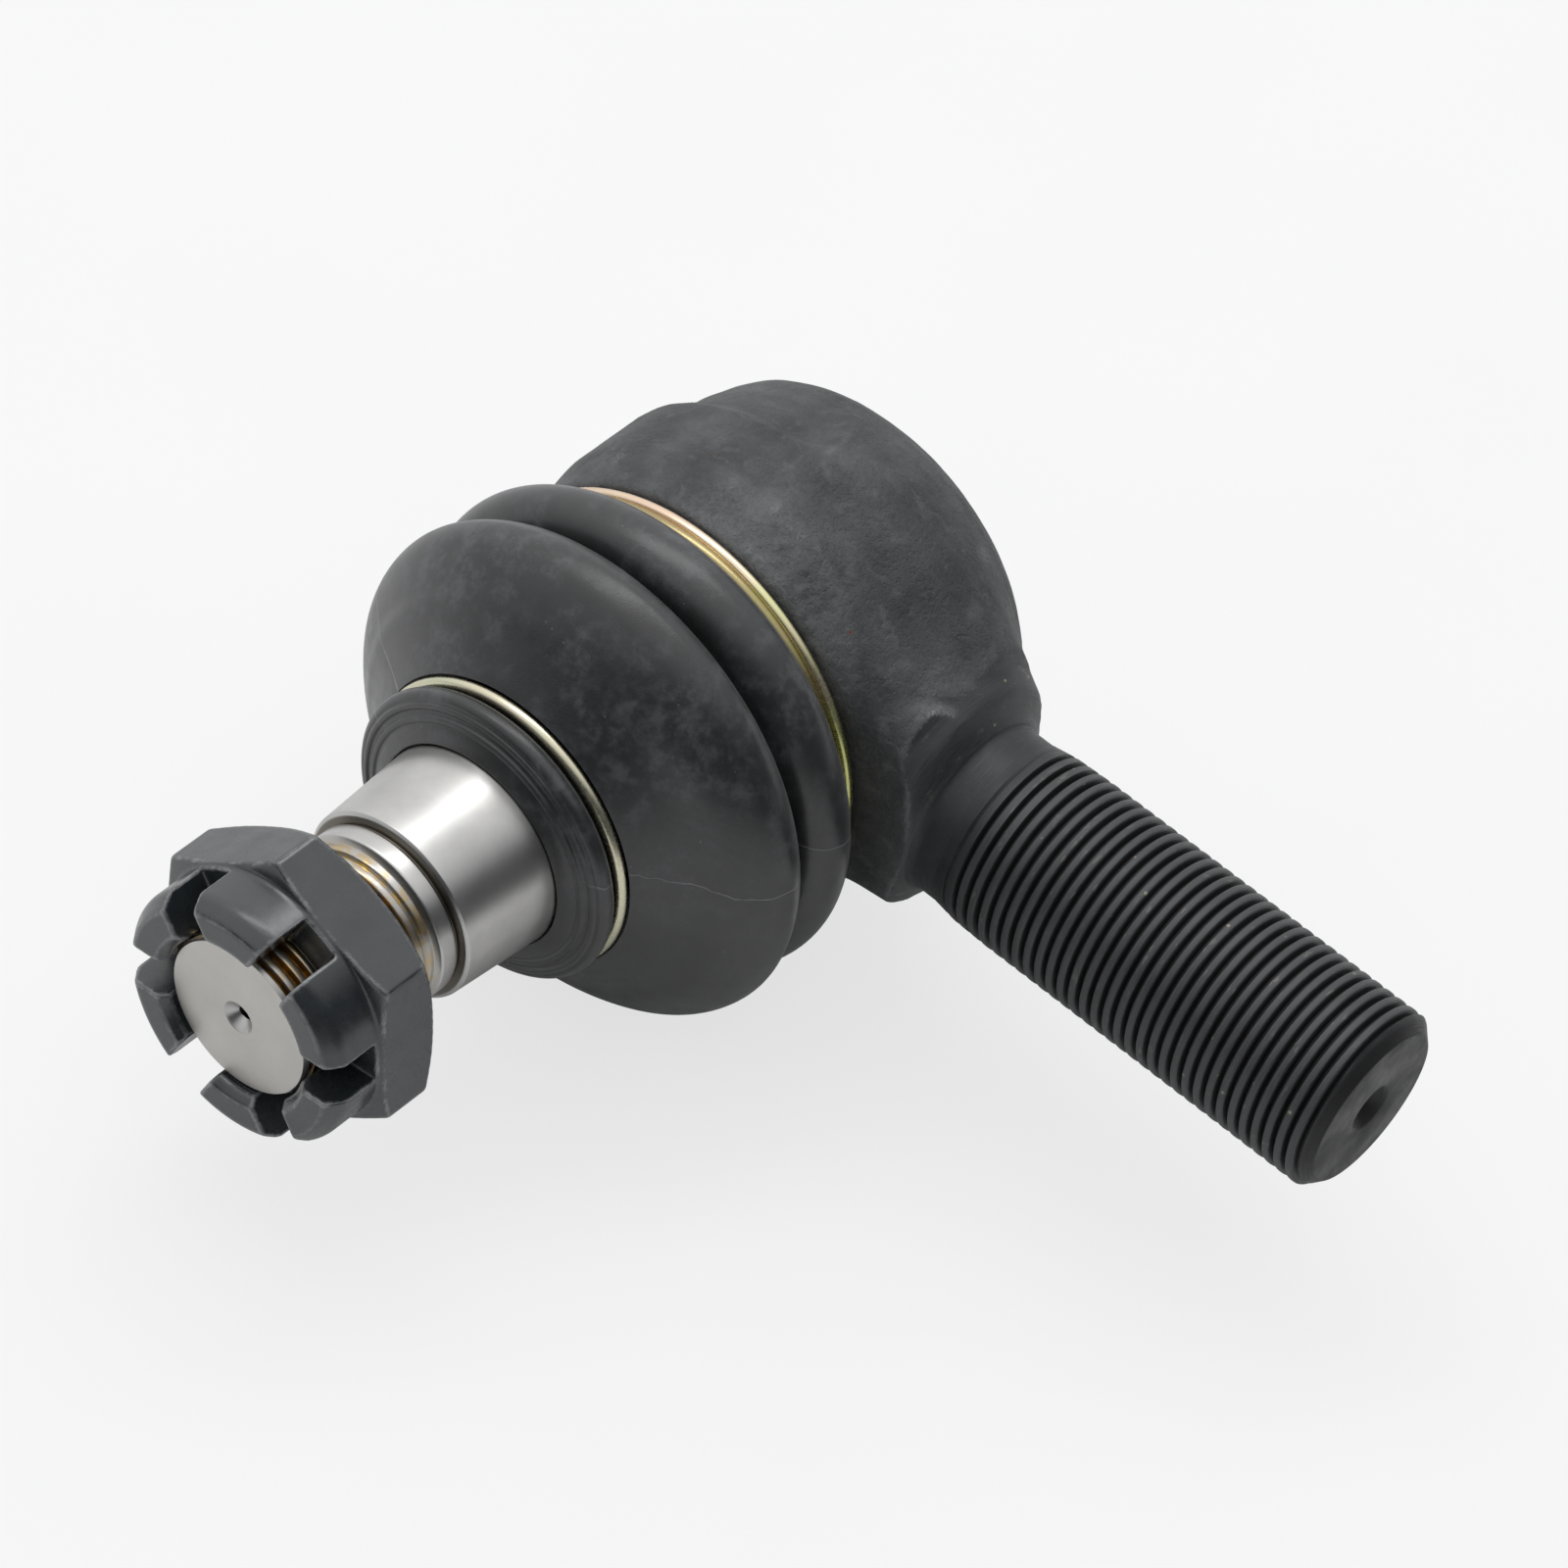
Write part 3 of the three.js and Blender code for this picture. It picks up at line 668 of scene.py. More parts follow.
def threaded_steel():
    """The forging's finish on the turned shank: crests painted lighter as a painted highlight and rubbed
    bare in places, roots painted black as painted shade with some grime, pale specks.
    """
    paint = Paint("forged_steel_thread")
    point = paint.place()
    x, y, z = paint.split(point)
    off = paint.math("SUBTRACT", y, BALL.y / MM)
    radius = paint.distance(off, z)
    clouds = paint.noise(point, 0.16, 5, 0.6)
    grain = paint.noise(point, 3.0, 3, 0.6)
    lines = paint.streaks((x, y, z), (9, 0.25, 0.25), 3, 0.6)
    colour = paint.ramp(clouds, [(0.32, (0.030, 0.032, 0.034)), (0.70, (0.046, 0.049, 0.051))])
    # painted highlight: the crests are painted lighter, standing in for the light they catch
    crest = paint.span(radius, SHANK_R - 0.40, SHANK_R - 0.08)
    crest = paint.times(crest, paint.span(lines, 0.30, 0.62, 0.35, 1))
    colour = paint.mix(paint.times(crest, 0.5), colour, (0.105, 0.108, 0.11))
    # painted shade: the roots are painted near black, for the shade in the groove, with some grime
    root = paint.span(radius, SHANK_R - 0.35, SHANK_R - 0.95)
    root = paint.times(root, paint.span(x, 46.0, 47.5))
    colour = paint.mix(paint.times(root, 0.8), colour, (0.012, 0.012, 0.012))
    specks = paint.span(paint.cells(point, 0.62), 0.22, 0.10)
    chance, tone, _ = paint.split(paint.cells(point, 0.62, "Color"))
    rubbed = paint.streaks((x, y, z), (0.8, 0.25, 0.25), 4, 0.65)
    rubbed = paint.times(crest, paint.span(rubbed, 0.60, 0.70, 0, 0.45))
    colour = paint.mix(rubbed, colour, (0.24, 0.235, 0.21))
    bare = paint.times(specks, paint.span(chance, 0.86, 0.88, 0, 0.8))
    colour = paint.mix(paint.times(bare, crest), colour, (0.40, 0.37, 0.27))
    rust = paint.times(specks, paint.span(tone, 0.988, 0.994, 0, 0.8))
    colour = paint.mix(rust, colour, (0.17, 0.05, 0.03))
    paint.surface(colour, 0.35, paint.span(lines, 0.3, 0.7, 0.40, 0.56))
    height = paint.plus(paint.times(lines, 0.5), paint.times(grain, 0.5))
    paint.bump(height, 0.06, 0.8)
    return paint


def black_rubber():
    paint = Paint("black_rubber")
    point = paint.place()
    x, _, z = paint.split(point)
    clouds = paint.noise(point, 0.075, 5, 0.6, 0.5)
    wisps = paint.noise(point, 0.30, 6, 0.72, 0.1)
    grain = paint.noise(point, 4.5, 2, 0.6)
    colour = paint.ramp(clouds, [(0.36, (0.013, 0.014, 0.015)), (0.60, (0.019, 0.020, 0.022)),
                                 (0.78, (0.027, 0.029, 0.032))])
    # partly painted sheen: the pale bloom is painted stronger towards the top, where the light falls, over
    # real bloom patches
    high = paint.span(z, -4, 26, 0.25, 1)
    bloom = paint.times(paint.span(clouds, 0.38, 0.58), paint.span(wisps, 0.42, 0.66, 0, 0.5))
    colour = paint.mix(paint.times(bloom, high), colour, (0.115, 0.12, 0.13))
    specks = paint.times(paint.span(paint.cells(point, 0.8), 0.16, 0.06),
                        paint.span(paint.split(paint.cells(point, 0.8, "Color"))[0], 0.93, 0.96, 0, 0.4))
    colour = paint.mix(specks, colour, (0.24, 0.24, 0.23))
    seam = mould_seam(paint, point, x, z, wisps)
    colour = paint.mix(seam, colour, (0.20, 0.20, 0.20))
    paint.surface(colour, 0.0, paint.span(wisps, 0.3, 0.75, 0.28, 0.42))
    paint.set("Specular IOR Level", 0.8)
    paint.set("Sheen Weight", 0.12)
    paint.set("Sheen Roughness", 0.5)
    height = paint.plus(paint.times(grain, 0.6), paint.times(wisps, 0.4))
    paint.bump(paint.plus(height, seam), 0.05, 0.7)
    return paint


def mould_seam(paint, point, x, z, wisps):
    """The thin pale line that the halves of the boot's mould leave on either side."""
    wander = paint.times(paint.math("SUBTRACT", paint.noise(point, 0.11, 3, 0.6), 0.5), 4.0)
    line = paint.math("ABSOLUTE", paint.plus(paint.math("SUBTRACT", z, MOULD_SEAM_Z), wander))
    line = paint.times(paint.span(line, 0.17, 0.05), paint.span(paint.math("ABSOLUTE", x), 17, 21))
    return paint.times(line, paint.span(wisps, 0.30, 0.55, 0.25, 0.75))


def ground_steel():
    """Ground bright; the grease in the thread has left brown and gold in its roots."""
    paint = Paint("ground_steel")
    point = paint.place()
    radius, station, x, _ = around_axis(paint, point)
    lines = paint.streaks((radius, station, x), (5, 5, 0.02), 4, 0.6)
    clouds = paint.noise(point, 0.12, 4, 0.6)
    colour = paint.ramp(clouds, [(0.35, (0.52, 0.517, 0.505)), (0.65, (0.61, 0.605, 0.59))])
    colour = paint.mix(paint.span(lines, 0.58, 0.8, 0, 0.12), colour, (0.46, 0.45, 0.42))
    face = paint.span(station, STUD_END - 0.25, STUD_END - 0.05)
    in_thread = paint.times(paint.span(station, STUD_THREAD_START - 0.7, STUD_THREAD_START + 0.3),
                           paint.span(station, STUD_END - 0.6, STUD_END - 1.4))
    outside = paint.span(radius, 9.0, 10.0)
    stained = paint.times(in_thread, outside)
    deep = paint.span(radius, STUD_R - 0.1, STUD_R - 0.8)
    tone = paint.noise(point, 0.5, 4, 0.65)
    share = paint.times(stained, paint.plus(paint.times(deep, 0.75),
                                                       paint.span(tone, 0.40, 0.62, 0.15, 0.7)))
    stain = paint.ramp(tone, [(0.35, (0.10, 0.06, 0.02)), (0.5, (0.42, 0.27, 0.08)),
                              (0.68, (0.66, 0.48, 0.18))])
    colour = paint.mix(share, colour, stain)
    # painted shade: the relief groove is painted dark, for the shade on its step
    groove = paint.times(paint.span(station, 72.85, 72.95), paint.span(station, 73.55, 73.45))
    colour = paint.mix(paint.times(groove, 0.8), colour, (0.10, 0.08, 0.05))
    colour = paint.mix(paint.times(face, 0.5), colour, (0.60, 0.575, 0.53))
    rough = paint.span(lines, 0.25, 0.8, 0.30, 0.34)
    paint.surface(colour, 1.0, paint.plus(rough, paint.times(face, 0.12)))
    paint.bump(lines, 0.002, 0.1)
    return paint


def phosphated_steel():
    """Blue-black, with a sheen at a glancing angle and thin worn edges."""
    paint = Paint("phosphated_steel")
    point = paint.place()
    clouds = paint.noise(point, 0.14, 5, 0.6)
    patches = paint.noise(point, 0.45, 3, 0.55)
    grain = paint.noise(point, 3.2, 3, 0.65)
    colour = paint.ramp(clouds, [(0.35, (0.017, 0.021, 0.024)), (0.68, (0.026, 0.031, 0.035))])
    colour = paint.mix(paint.span(grain, 0.55, 0.8, 0, 0.2), colour, (0.045, 0.052, 0.058))
    worn = paint.times(paint.attribute("worn"), paint.span(patches, 0.36, 0.58, 0.15, 0.8))
    colour = paint.mix(worn, colour, (0.24, 0.25, 0.26))
    paint.surface(colour, 0.0, paint.span(patches, 0.3, 0.7, 0.20, 0.30))
    paint.set("Specular IOR Level", 1.0)
    paint.bump(grain, 0.012, 0.4)
    return paint


def yellow_zinc_wire():
    """Yellow passivated: pale pink and cream to yellow, green and olive, in bands along the wire."""
    paint = Paint("yellow_zinc_wire")
    point = paint.place()
    _, station, x, z = around_axis(paint, point)
    along = paint.math("ARCTAN2", z, x)
    drift = paint.noise(point, 0.07, 3, 0.6)
    tone = paint.plus(paint.times(along, -0.21), drift)
    colour = paint.ramp(tone, [(0.02, (0.86, 0.66, 0.50)), (0.20, (0.90, 0.78, 0.56)),
                               (0.36, (0.80, 0.80, 0.42)), (0.50, (0.60, 0.62, 0.25)),
                               (0.66, (0.70, 0.56, 0.24)), (0.85, (0.80, 0.68, 0.44))])
    front = paint.times(paint.span(station, 16.75, 17.15), paint.span(station, 30, 29))
    colour = paint.mix(paint.times(front, 0.8), colour, (0.32, 0.27, 0.10))
    cream = paint.ramp(drift, [(0.35, (0.74, 0.68, 0.52)), (0.65, (0.68, 0.68, 0.50))])
    colour = paint.mix(paint.span(station, 40, 41), colour, cream)
    dull = paint.span(paint.noise(point, 0.9, 4, 0.6), 0.55, 0.8, 0, 0.25)
    colour = paint.mix(dull, colour, (0.36, 0.31, 0.16))
    paint.surface(colour, 1.0, paint.span(paint.noise(point, 1.6, 3), 0.3, 0.7, 0.24, 0.32))
    paint.bump(paint.noise(point, 3.0, 3, 0.6), 0.006, 0.3)
    return paint


def plain_metal(name, dark, light, rough, lines_per_mm):
    """A metal with clouded colour and fine turned or pressed lines."""
    paint = Paint(name)
    point = paint.place()
    radius, station, x, _ = around_axis(paint, point)
    lines = paint.streaks((radius, station, x), (lines_per_mm, lines_per_mm, 0.08), 4, 0.65)
    spangle = paint.cells(point, 0.45)
    clouds = paint.noise(point, 0.2, 5, 0.6)
    tone = paint.plus(paint.times(clouds, 0.8), paint.times(spangle, 0.2))
    paint.surface(paint.ramp(tone, [(0.3, dark), (0.7, light)]), 1.0, paint.span(lines, 0.3, 0.75, *rough))
    paint.bump(lines, 0.02, 0.5)
    return paint


def bearing_polymer():
    paint = Paint("bearing_polymer")
    point = paint.place()
    clouds = paint.noise(point, 0.2, 4, 0.6)
    colour = paint.ramp(clouds, [(0.3, (0.66, 0.64, 0.55)), (0.7, (0.76, 0.74, 0.67))])
    paint.surface(colour, 0.0, paint.span(paint.noise(point, 1.5, 3), 0.3, 0.7, 0.35, 0.5))
    paint.bump(paint.noise(point, 3.0, 2), 0.02, 0.5)
    return paint


# ---------- housing ----------

# Sections of the neck: x, half width along the eye's axis, half height, squareness
NECK = np.array([
    (6.0, 13.6, 28.5, 0.75),
    (14.0, 14.0, 26.8, 0.70),
    (26.0, 14.2, 23.0, 0.62),
    (33.0, 14.5, 20.3, 0.58),
    (38.0, 14.7, 18.9, 0.58),
    (48.0, 14.7, 18.2, 0.60),
])


def eye_field(x, station, z):
    """The two halves of the forging die met a little out of line, near station -7."""
    angle = np.arctan2(z, x)
    half = ease(station, -8.6, -5.6)
    draft = np.interp(station, (-24.5, -23.2, -22.4, -20.6, -18, -14, -10),
                      (6.5, 4.4, 3.5, 2.2, 1.3, 0.4, 0))
    radius = 32.0 + 1.1 * half - 1.3 * ease(station, 6.0, 13.0) - draft
    radius = radius + 0.12 * np.sin(3 * angle + 0.7) - 0.10 * np.sin(5 * angle)
    side = np.hypot(x - 1.1 + 1.65 * half, z) - radius
    return blend_max(np.maximum(side, EYE_BACK - 0.6 - station), station - EYE_FRONT - 0.8, 1.8)


def neck_field(x, station, z):
    at, half_y, half_z, power = NECK.T
    wide = np.interp(x, at, half_y)
    tall = np.interp(x, at, half_z) * np.where(z < 0, 0.93 - 0.09 * ease(x, 20, 34), 1)
    square = np.interp(x, at, power)
    across = np.abs(station) / wide
    up = np.abs(z) / tall
    level = (across ** (2 / square) + up ** (2 / square)) ** (square / 2)
    return np.maximum((level - 1) * np.minimum(wide, tall), NECK[0][0] - x)


def waist_field(x, station, z):
    """Outside the turned waist between the neck's ridge and the thread."""
    at, radius = zip(*WAIST)
    return (np.hypot(station, z) - np.interp(x, at, radius)) * 0.75


def dent(x, station, z, a, b, radius):
    """Distance to a rod of that radius between two points."""
    a, b = np.array(a), np.array(b)
    run = b - a
    share = ((x - a[0]) * run[0] + (station - a[1]) * run[1] + (z - a[2]) * run[2]) / (run @ run)
    share = np.clip(share, 0, 1)
    off = (x - a[0] - share * run[0], station - a[1] - share * run[1], z - a[2] - share * run[2])
    return np.sqrt(off[0] ** 2 + off[1] ** 2 + off[2] ** 2) - radius


def forging_field(x, station, z):
    fillet = 6.5 - 3.0 * ease(-z, 0, 12) + 6.0 * ease(-station, -2, 8) * ease(z, 0, 8)
    body = blend_min(eye_field(x, station, z), neck_field(x, station, z), fillet)
    body = blend_max(body, station - EYE_FRONT + 0.15, 2.4)
    body = blend_max(body, waist_field(x, station, z), 0.3)
    lap = dent(x, station, z, (32.8, 7.3, 20.9), (36.3, 3.5, 19.6), 0.9)
    body = blend_max(body, -lap, 0.9)
    spigot = np.maximum(np.hypot(x, z) - SPIGOT_R - 0.5, np.abs(station - 12) - 11.1)
    return np.maximum(np.minimum(body, spigot), x - THREAD_START - 1.0)


def forging_surface(points):
    """Forging scale: long lumps, and rough places where scale has come away."""
    outward = points * (1, 0, 1)
    outward /= np.maximum(np.linalg.norm(outward, axis=1), 1)[:, None]
    x = points[:, 0]
    free = ease(x, 41.5, 38.5) * ease(points[:, 1], 16.5, 14.0)
    push = 0.14 * lumps(points, 14, 1.0) + 0.05 * lumps(points, 4, 2.0)
    push += 0.17 * rough_places(points) * lumps(points, 1.8, 3.0)
    return points + outward * (push * free)[:, None]


def rough_places(points):
    """0 to 1: the rough band beside the boot's ring, and the place under the neck's ridge."""
    x, station, z = points.T
    angle = np.degrees(np.arctan2(z, x))
    edge = np.interp(angle, (35, 43, 57, 69, 86, 99), (12.5, 10.7, 6.8, 5.4, 4.2, 4.6))
    band = ease(station, edge - 0.5, edge + 0.6) * ease(angle, 34, 44) * ease(angle, 108, 96)
    left = ease(np.hypot(angle - 133, 4 * (station - 9)), 12, 5)
    near = np.linalg.norm(points - (35.6, 6.4, 19.6), axis=1)
    return np.clip(band + left + ease(near, 4.2, 2.0), 0, 1)


def light_marks(points):
    """0 to 1: bare places from handling, as (x, station, z, radius)."""
    marks = [(22.8, -17.0, 23.4, 1.3), (36.3, 5.5, 18.7, 1.6), (37.6, 1.0, 18.2, 0.9),
             (37.4, 9.8, 15.6, 1.0), (20.2, -12.0, 26.0, 0.6), (-20.5, 9.0, 25.2, 1.0),
             (8.6, 6.2, 31.6, 0.9), (40.0, -9.5, 14.0, 1.2)]
    total = np.zeros(len(points))
    for x, station, z, radius in marks:
        off = np.linalg.norm(points - (x, station, z), axis=1)
        total += ease(off, radius * 1.7, radius * 0.5)
    return np.clip(total, 0, 1)


def eye_machining():
    """What the forging keeps once its spigot, front face and back boss are turned."""
    far = 90.0
    profile = [(0, EYE_BACK), (far, EYE_BACK), (far, EYE_FRONT), (SPIGOT_R, EYE_FRONT, 0.5),
               (SPIGOT_R, SPIGOT_END, 0.7), (0, SPIGOT_END)]
    return turned("machining", profile, closed=False)


def eye_cavity():
    """The bore for the bearing, the cover's bore with its groove, and the flared opening."""
    bore, groove, bearing = 24.0, 25.2, 22.5
    profile = [(0, EYE_BACK - 1), (groove, EYE_BACK - 1), (bore, EYE_BACK + 0.5), (bore, -22.1),
               (groove, -22.1), (groove, -20.1), (bore, -20.1), (bore, -16.0), (bearing, -16.0),
               (bearing, 9.6), (16.6, 9.6, 0.6),
               (22.0, SPIGOT_END - 0.4), (22.8, SPIGOT_END + 1), (0, SPIGOT_END + 1)]
    return turned("cavity", profile, closed=False)


def housing_forging():
    step = 0.5
    piece = shaped("housing_forging", forging_field, (-36, -25, -36), (47.5, 24.5, 36), step,
                   adjust=forging_surface)
    boolean(piece, eye_machining(), "INTERSECT")
    boolean(piece, eye_cavity(), "DIFFERENCE")
    boolean(piece, shank(), "UNION")
    shade(piece.data, 38)
    points = (read(piece.data.vertices, "co", 3) - np.array(BALL)) / MM * (1, -1, 1)
    ridge = ease(edge_wear(piece, 4), 0.05, 0.16) * ease(points[:, 0], 41, 39)
    worn = 0.5 * ridge + 0.5 * light_marks(points) + 0.26 * rough_places(points)
    store(piece, "worn", np.clip(worn, 0, 1))
    off = waist_field(*points.T)
    turned_part = (points[:, 0] > 42) | ((points[:, 0] > 35) & (np.abs(off) < 0.12))
    store(piece, "turned", turned_part)
    return piece


def shank():
    """The threaded shank, from inside the neck to its chamfered end with the lathe's centre hole."""
    chamfer, lean = 2.0, 1.05
    start = THREAD_START

    def envelope(along):
        at_end = SHANK_R - np.maximum(along - (SHANK_END - chamfer), 0) * lean
        return np.minimum(at_end, np.interp(along, (start, 49, 55), (13.3, 13.8, SHANK_R)))

    end_r = SHANK_R - chamfer * lean
    before = [(13.3, start - 0.1), (12.6, start - 0.4), (12.6, start - 3.0), (0.0, start - 3.0)]
    after = [(end_r - 0.25, SHANK_END), (8.0, SHANK_END), (3.9, SHANK_END), (3.6, SHANK_END - 0.2),
             (1.9, SHANK_END - 2.0), (1.8, SHANK_END - 4.4), (0.0, SHANK_END - 5.0)]
    return threaded("shank", about_shank, before, after, SHANK_R, start, SHANK_END - 0.05, envelope)


# ---------- cover ----------


def cover_plate():
    profile = [(0, -21.55), (4.2, -21.55, 1.0), (5.2, -20.9, 1.0), (9.0, -20.9, 1.0), (10.2, -21.55, 1.0),
               (17.3, -21.55, 1.2), (18.6, -20.0, 1.0), (23.7, -20.0, 0.5), (23.7, -17.6, 0.5),
               (18.1, -17.6, 0.8), (17.0, -19.2, 0.8), (0, -19.2)]
    return turned("cover_plate_pressed", profile, closed=False, sharp=50)


def snap_ring_field(x, station, z):
    radius = np.hypot(x, z)
    ring = blend_max(radius - 24.9, 22.2 - radius, 0.3)
    mouth = np.maximum(x, np.abs(z) - 3.5)
    ring = blend_max(ring, -mouth, 0.5)
    lugs = [np.hypot(x + 21.2, z - side) for side in (-5.6, 5.6)]
    for lug in lugs:
        ring = blend_min(ring, lug - 2.3, 0.8)
    for lug in lugs:
        ring = blend_max(ring, 1.0 - lug, 0.3)
    return blend_max(ring, np.abs(station + 21.1) - 0.68, 0.35)


def snap_ring():
    step = 0.22
    return shaped("snap_ring_wire", snap_ring_field, (-26, -22.6, -26), (26, -19.6, 26), step)


# ---------- boot ----------


def boot_wobble(points):
    """Moulded rubber is never quite true."""
    x, station, z = points.T
    angle = np.arctan2(z, x)
    radius = np.hypot(x, z)
    free = ease(radius, 30, 33)
    grow = 0.10 * np.sin(2 * angle + 0.4) + 0.05 * np.sin(5 * angle + station / 9) + 0.05
    scale = 1 + grow * free / np.maximum(radius, 1)
    points = points * np.stack([scale, np.ones_like(scale), scale], axis=1)
    points = points + free[:, None] * (0.6, 0, -0.1)
    low = np.minimum(points[:, 2] - BOOT_REST_Z, 0)
    return points - np.outer(low, (0, 0, 0.5))


def boot_bead():
    profile = [(28.1, 15.1, 0.4), (30.25, 15.1, 0.5), (30.25, 19.0, 0.5), (31.0, 20.2, 0.8)]
    profile += arc(32.4, 24.75, 4.9, -74, 76, 30)
    profile += [(31.2, 29.75, 0.6), (28.7, 29.9, 0.3), (28.1, 21.0)]
    return turned("boot_bead_moulding", profile, sides=192, wobble=boot_wobble)


def boot_dome():
    """Rises from the groove, turns over its widest round and slopes in to the collar."""
    outer = smooth_line([(29.6, 30.0), (31.4, 30.35), (34.0, 31.0), (36.3, 32.2), (37.6, 33.9),
                         (38.1, 35.8), (37.2, 38.4), (34.8, 41.1), (31.7, 43.6), (28.3, 45.8),
                         (25.3, 47.9), (23.4, 49.3), (22.5, 49.95)], 5)
    inner = smooth_line([(20.9, 48.4), (24, 46.2), (27.1, 44), (30.3, 41.7), (33.2, 39), (35, 36.2),
                         (33.6, 33.9), (29.2, 32.4), (28.7, 30.6)], 4)
    return turned("boot_dome_moulding", outer + inner, sides=192, wobble=boot_wobble)


def taper_r(station):
    slope = (TAPER_END_R - TAPER_START_R) / (TAPER_END - TAPER_START)
    return TAPER_START_R + slope * (station - TAPER_START)


def boot_collar():
    """The boot's neck on the cone, with a lip and two fine ridges on its outer face."""
    lip = [(20.1, 47.95, 0.3), (20.1, 51.5, 0.5), (21.5, 52.1, 0.6), (22.35, 53.0, 0.8),
           (22.4, 54.3, 0.8), (21.7, 55.05, 0.5), (21.1, 55.1, 0.2), (20.85, 55.5, 0.25),
           (20.3, 55.55, 0.25), (20.05, 55.3, 0.2), (19.5, 55.5, 0.2), (19.25, 55.95, 0.25),
           (18.6, 56.05, 0.25), (18.35, 55.85, 0.2)]
    face = [(17.4, 56.4, 0.8), (taper_r(57.0) + 0.25, 57.0, 0.3),
            (taper_r(56.2) + 0.12, 56.2), (taper_r(47.95) + 0.12, 47.95)]
    return turned("boot_collar_moulding", lip + face, sides=192, sharp=45)


def wire_ring(name, ring_r, wire_r, centre_line, steps):
    """A wire along centre_line, a list of (angle in degrees, station), with rounded ends."""
    angles, stations = np.array(centre_line, float).T
    at = np.linspace(angles[0], angles[-1], steps + 1)
    station = np.interp(at, angles, stations)
    points, faces, around = [], [], 14
    cap = [(0.35, -0.55), (0.75, -0.3)]  # share of the wire's radius, and shift in radii
    rows = [(0, share, shift) for share, shift in cap]
    rows += [(k, 1.0, 0.0) for k in range(steps + 1)]
    rows += [(steps, share, -shift) for share, shift in reversed(cap)]
    for k, share, shift in rows:
        turn = math.radians(at[k] + math.degrees(shift * wire_r / ring_r))
        for side in range(around):
            tip = 2 * math.pi * side / around
            radius = ring_r + share * wire_r * math.cos(tip)
            points.append((radius * math.cos(turn), station[k] + share * wire_r * math.sin(tip),
                           radius * math.sin(turn)))
    for row in range(len(rows) - 1):
        for side in range(around):
            following = (side + 1) % around
            faces.append((row * around + side, row * around + following,
                          (row + 1) * around + following, (row + 1) * around + side))
    faces += [tuple(range(around)), tuple(range(len(points) - around, len(points)))]
    return add_object(name, to_frame(points), faces, sharp=60)


def clamp_ring():
    """Two turns side by side, which cross over underneath."""
    line = [(-100, 16.1), (215, 16.1), (255, 17.8), (575, 17.8)]
    return wire_ring("boot_clamp_wire", 31.4, 0.84, line, 440)


def neck_ring():
    return wire_ring("boot_neck_wire", 21.3, 0.95, [(-84, 50.5), (270, 50.5)], 240)


# ---------- ball stud and nut ----------


def ball_stud():
    """Ball, neck, ground cone, relief, and a thread with the lathe's centre hole in its end."""
    chamfer, lean = 0.7, 0.5
    ball_flat = -15.6

    def envelope(along):
        return STUD_R - np.maximum(along - (STUD_END - chamfer), 0) * lean

    back = math.degrees(math.asin(ball_flat / BALL_R))
    front = math.degrees(math.acos(STUD_NECK_R / BALL_R))
    flat_r = BALL_R * math.cos(math.radians(back)) - 0.3
    profile = [(0, ball_flat), (flat_r, ball_flat), *arc(0, 0, BALL_R, back, front, 48),
               (STUD_NECK_R, 16.0, 1.5), (STUD_NECK_R, 26.0, 2.0), (10.8, 31, 2.0), (13.0, 37, 2.0),
               (15.4, 42.4, 1.2), (TAPER_START_R, TAPER_START, 0.4),
               (TAPER_END_R + 0.03, TAPER_END - 0.4, 0.1), (TAPER_END_R - 0.45, TAPER_END, 0.15),
               (RELIEF_R, TAPER_END + 0.2, 0.1), (RELIEF_R, 73.4, 0.1), (PLAIN_RING_R, 73.6, 0.15),
               (PLAIN_RING_R, 76.2, 0.3), (12.1, 76.75, 0.1)]
    before = list(reversed(rounded(profile, closed=False)))
    after = [(STUD_R - lean * chamfer - 0.15, STUD_END), (6.5, STUD_END), (2.55, STUD_END),
             (2.35, STUD_END - 0.15), (1.25, STUD_END - 1.6), (1.2, STUD_END - 3.4), (0.0, STUD_END - 4.0)]
    stud = threaded("ball_stud_turned", about_stud, before, after, STUD_R, STUD_THREAD_START,
                    STUD_END - 0.03, envelope)
    boolean(stud, cotter_drill(), "DIFFERENCE")
    shade(stud.data, 30)
    return stud


def cotter_drill():
    """The hole across the stud for a cotter pin, half way between two slots of the nut."""
    sides, half = 40, 16.0
    turn = NUT_TURN + math.radians(30)
    points = []
    for end in (-half, half):
        for i in range(sides):
            angle = 2 * math.pi * i / sides
            side, station = COTTER_R * math.cos(angle), COTTER_AT + COTTER_R * math.sin(angle)
            points.append((end * math.cos(turn) - side * math.sin(turn), station,
                           end * math.sin(turn) + side * math.cos(turn)))
    faces = [(i, (i + 1) % sides, (i + 1) % sides + sides, i + sides) for i in range(sides)]
    faces += [tuple(range(sides)), tuple(range(sides, 2 * sides))]
    return add_object("drill", to_frame(points), faces)


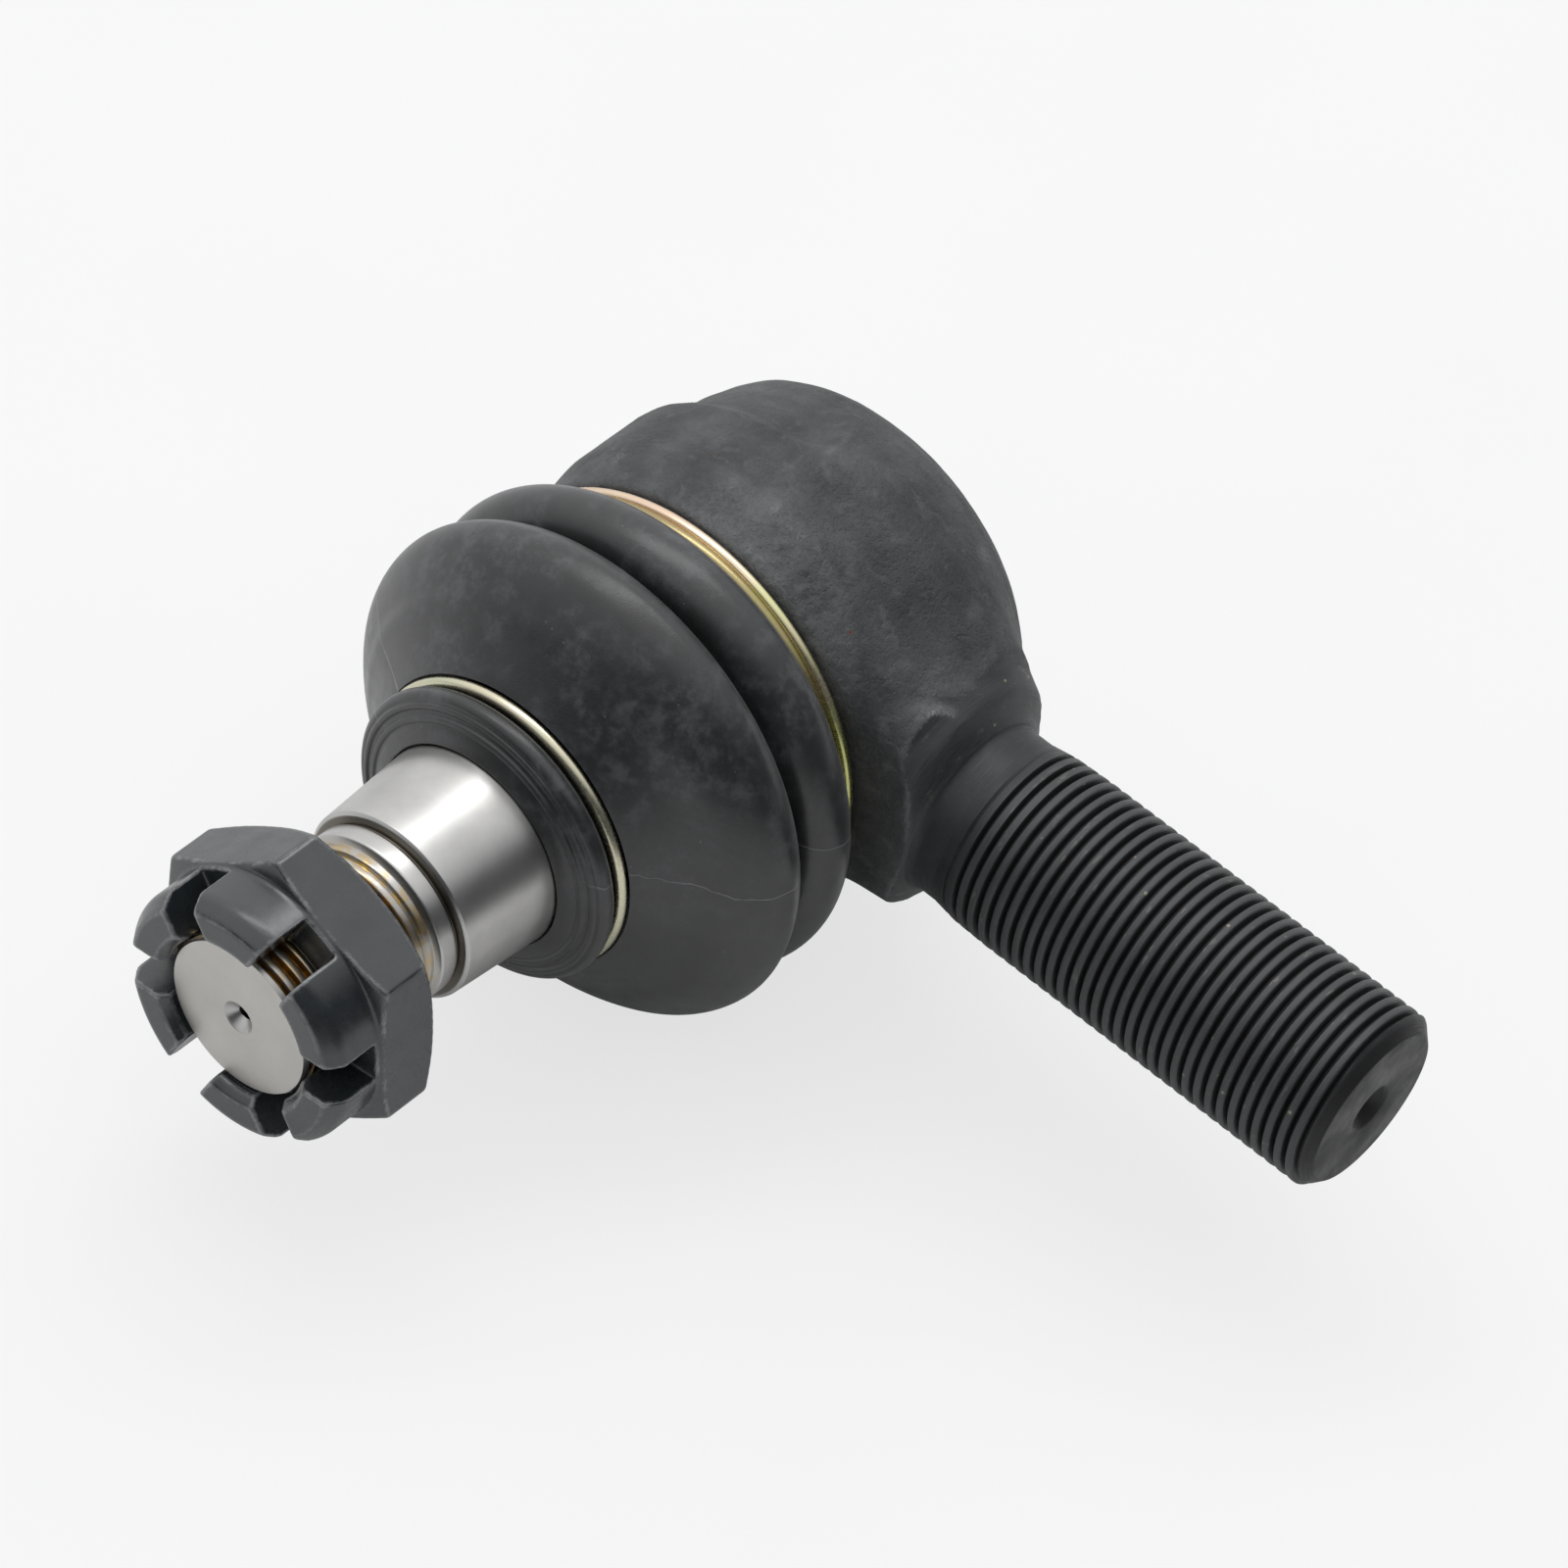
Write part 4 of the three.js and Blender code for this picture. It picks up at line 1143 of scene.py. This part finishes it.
def nut_field(x, station, z):
    radius = np.hypot(x, z)
    turns = [NUT_TURN + k * math.pi / 3 for k in range(6)]
    hexagon = np.full(x.shape, -1e3)
    for angle in turns:
        hexagon = blend_max(hexagon, x * math.cos(angle) + z * math.sin(angle) - NUT_HALF_FLATS, 0.5)
    ends = []
    for depth, degrees in ((station - NUT_BACK, 28), (NUT_HEX_END - station, 18)):
        lean = math.radians(degrees)
        ends.append((radius - NUT_HALF_FLATS + 0.2) * math.sin(lean) - depth * math.cos(lean))
    slab = np.maximum(NUT_BACK - station, station - NUT_HEX_END)
    body = blend_max(hexagon, np.maximum(ends[0], ends[1]), 0.45)
    body = blend_max(body, slab, 0.45)
    crown = np.maximum(radius - NUT_CROWN_R, NUT_BACK + 2 - station)
    slope = (radius - NUT_CROWN_R + 1.7) * 0.81 + (station - NUT_CROWN_END) * 0.59
    crown = blend_max(blend_max(crown, slope, 0.5), station - NUT_CROWN_END, 0.5)
    nut = blend_min(body, crown, 0.6)
    nut = blend_max(nut, STUD_R + 0.3 - radius, 0.4)
    for mouth in (NUT_BACK - station, station - NUT_CROWN_END):
        nut = blend_max(nut, (STUD_R + 1.5 - radius + mouth) * 0.7, 0.3)
    for angle in turns:
        out = x * math.cos(angle) + z * math.sin(angle)
        side = np.abs(z * math.cos(angle) - x * math.sin(angle)) - NUT_SLOT_WIDTH / 2
        slot = blend_max(np.maximum(side, -out), NUT_SLOT_BOTTOM - station, 0.6)
        nut = blend_max(nut, -slot, 0.35)
    return nut


def castle_nut():
    step = 0.28
    reach = 23.2
    nut = shaped("castle_nut_body", nut_field, (-reach, NUT_BACK - 0.6, -reach),
                 (reach, NUT_CROWN_END + 0.6, reach), step, sharp=50)
    store(nut, "worn", ease(edge_wear(nut, 2), 0.015, 0.045))
    return nut


# ---------- assembly ----------


def finish_turned_part(piece, paint):
    """The lathe's part of the forging gets a finish of its own."""
    piece.data.materials.append(paint.material)
    turned_part = read(piece.data.attributes["turned"].data, "value", 1)
    for face in piece.data.polygons:
        face.material_index = int(turned_part[list(face.vertices)].mean() > 0.5)


def finish_piece(piece, paint, node, body=None):
    paint.cover(piece)
    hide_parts(node)
    if body:
        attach(piece, body)


def build():
    forged, thread = forged_steel(), threaded_steel()
    rubber, wire = black_rubber(), yellow_zinc_wire()
    spring = plain_metal("spring_steel", (0.10, 0.10, 0.105), (0.17, 0.17, 0.175), (0.30, 0.45), 3.0)
    zinc = plain_metal("zinc_plate", (0.50, 0.50, 0.49), (0.64, 0.64, 0.63), (0.26, 0.42), 2.0)
    housing = housing_forging()
    finish_piece(housing, forged, "housing", "housing")
    finish_turned_part(housing, thread)
    finish_piece(cover_plate(), zinc, "cover_plate", "housing")
    finish_piece(snap_ring(), spring, "snap_ring", "housing")
    finish_piece(boot_bead(), rubber, "boot_bead", "housing")
    finish_piece(clamp_ring(), wire, "boot_clamp_ring", "housing")
    finish_piece(boot_collar(), rubber, "boot_collar", "boot_neck")
    finish_piece(neck_ring(), wire, "boot_neck_ring", "boot_neck")
    finish_piece(ball_stud(), ground_steel(), "ball_stud", "stud")
    finish_piece(castle_nut(), phosphated_steel(), "castle_nut", "nut")
    dome = boot_dome()
    finish_piece(dome, rubber, "boot_dome")
    start, end = (BALL - Vector((0, station * MM, 0)) for station in (31, 49))
    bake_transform(dome)
    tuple(start)
    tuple(end)
    nodes = frame["nodes"]
    bearing_polymer().cover(nodes["front_bearing"], nodes["rear_seat"])
    spring.cover(nodes["disc_spring"])
    rubber.cover(nodes["cover_seal"])


add_camera()
add_studio()
build()

as_lists = [[list(corner) for corner in box] for box in (cad_bounds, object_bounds())]
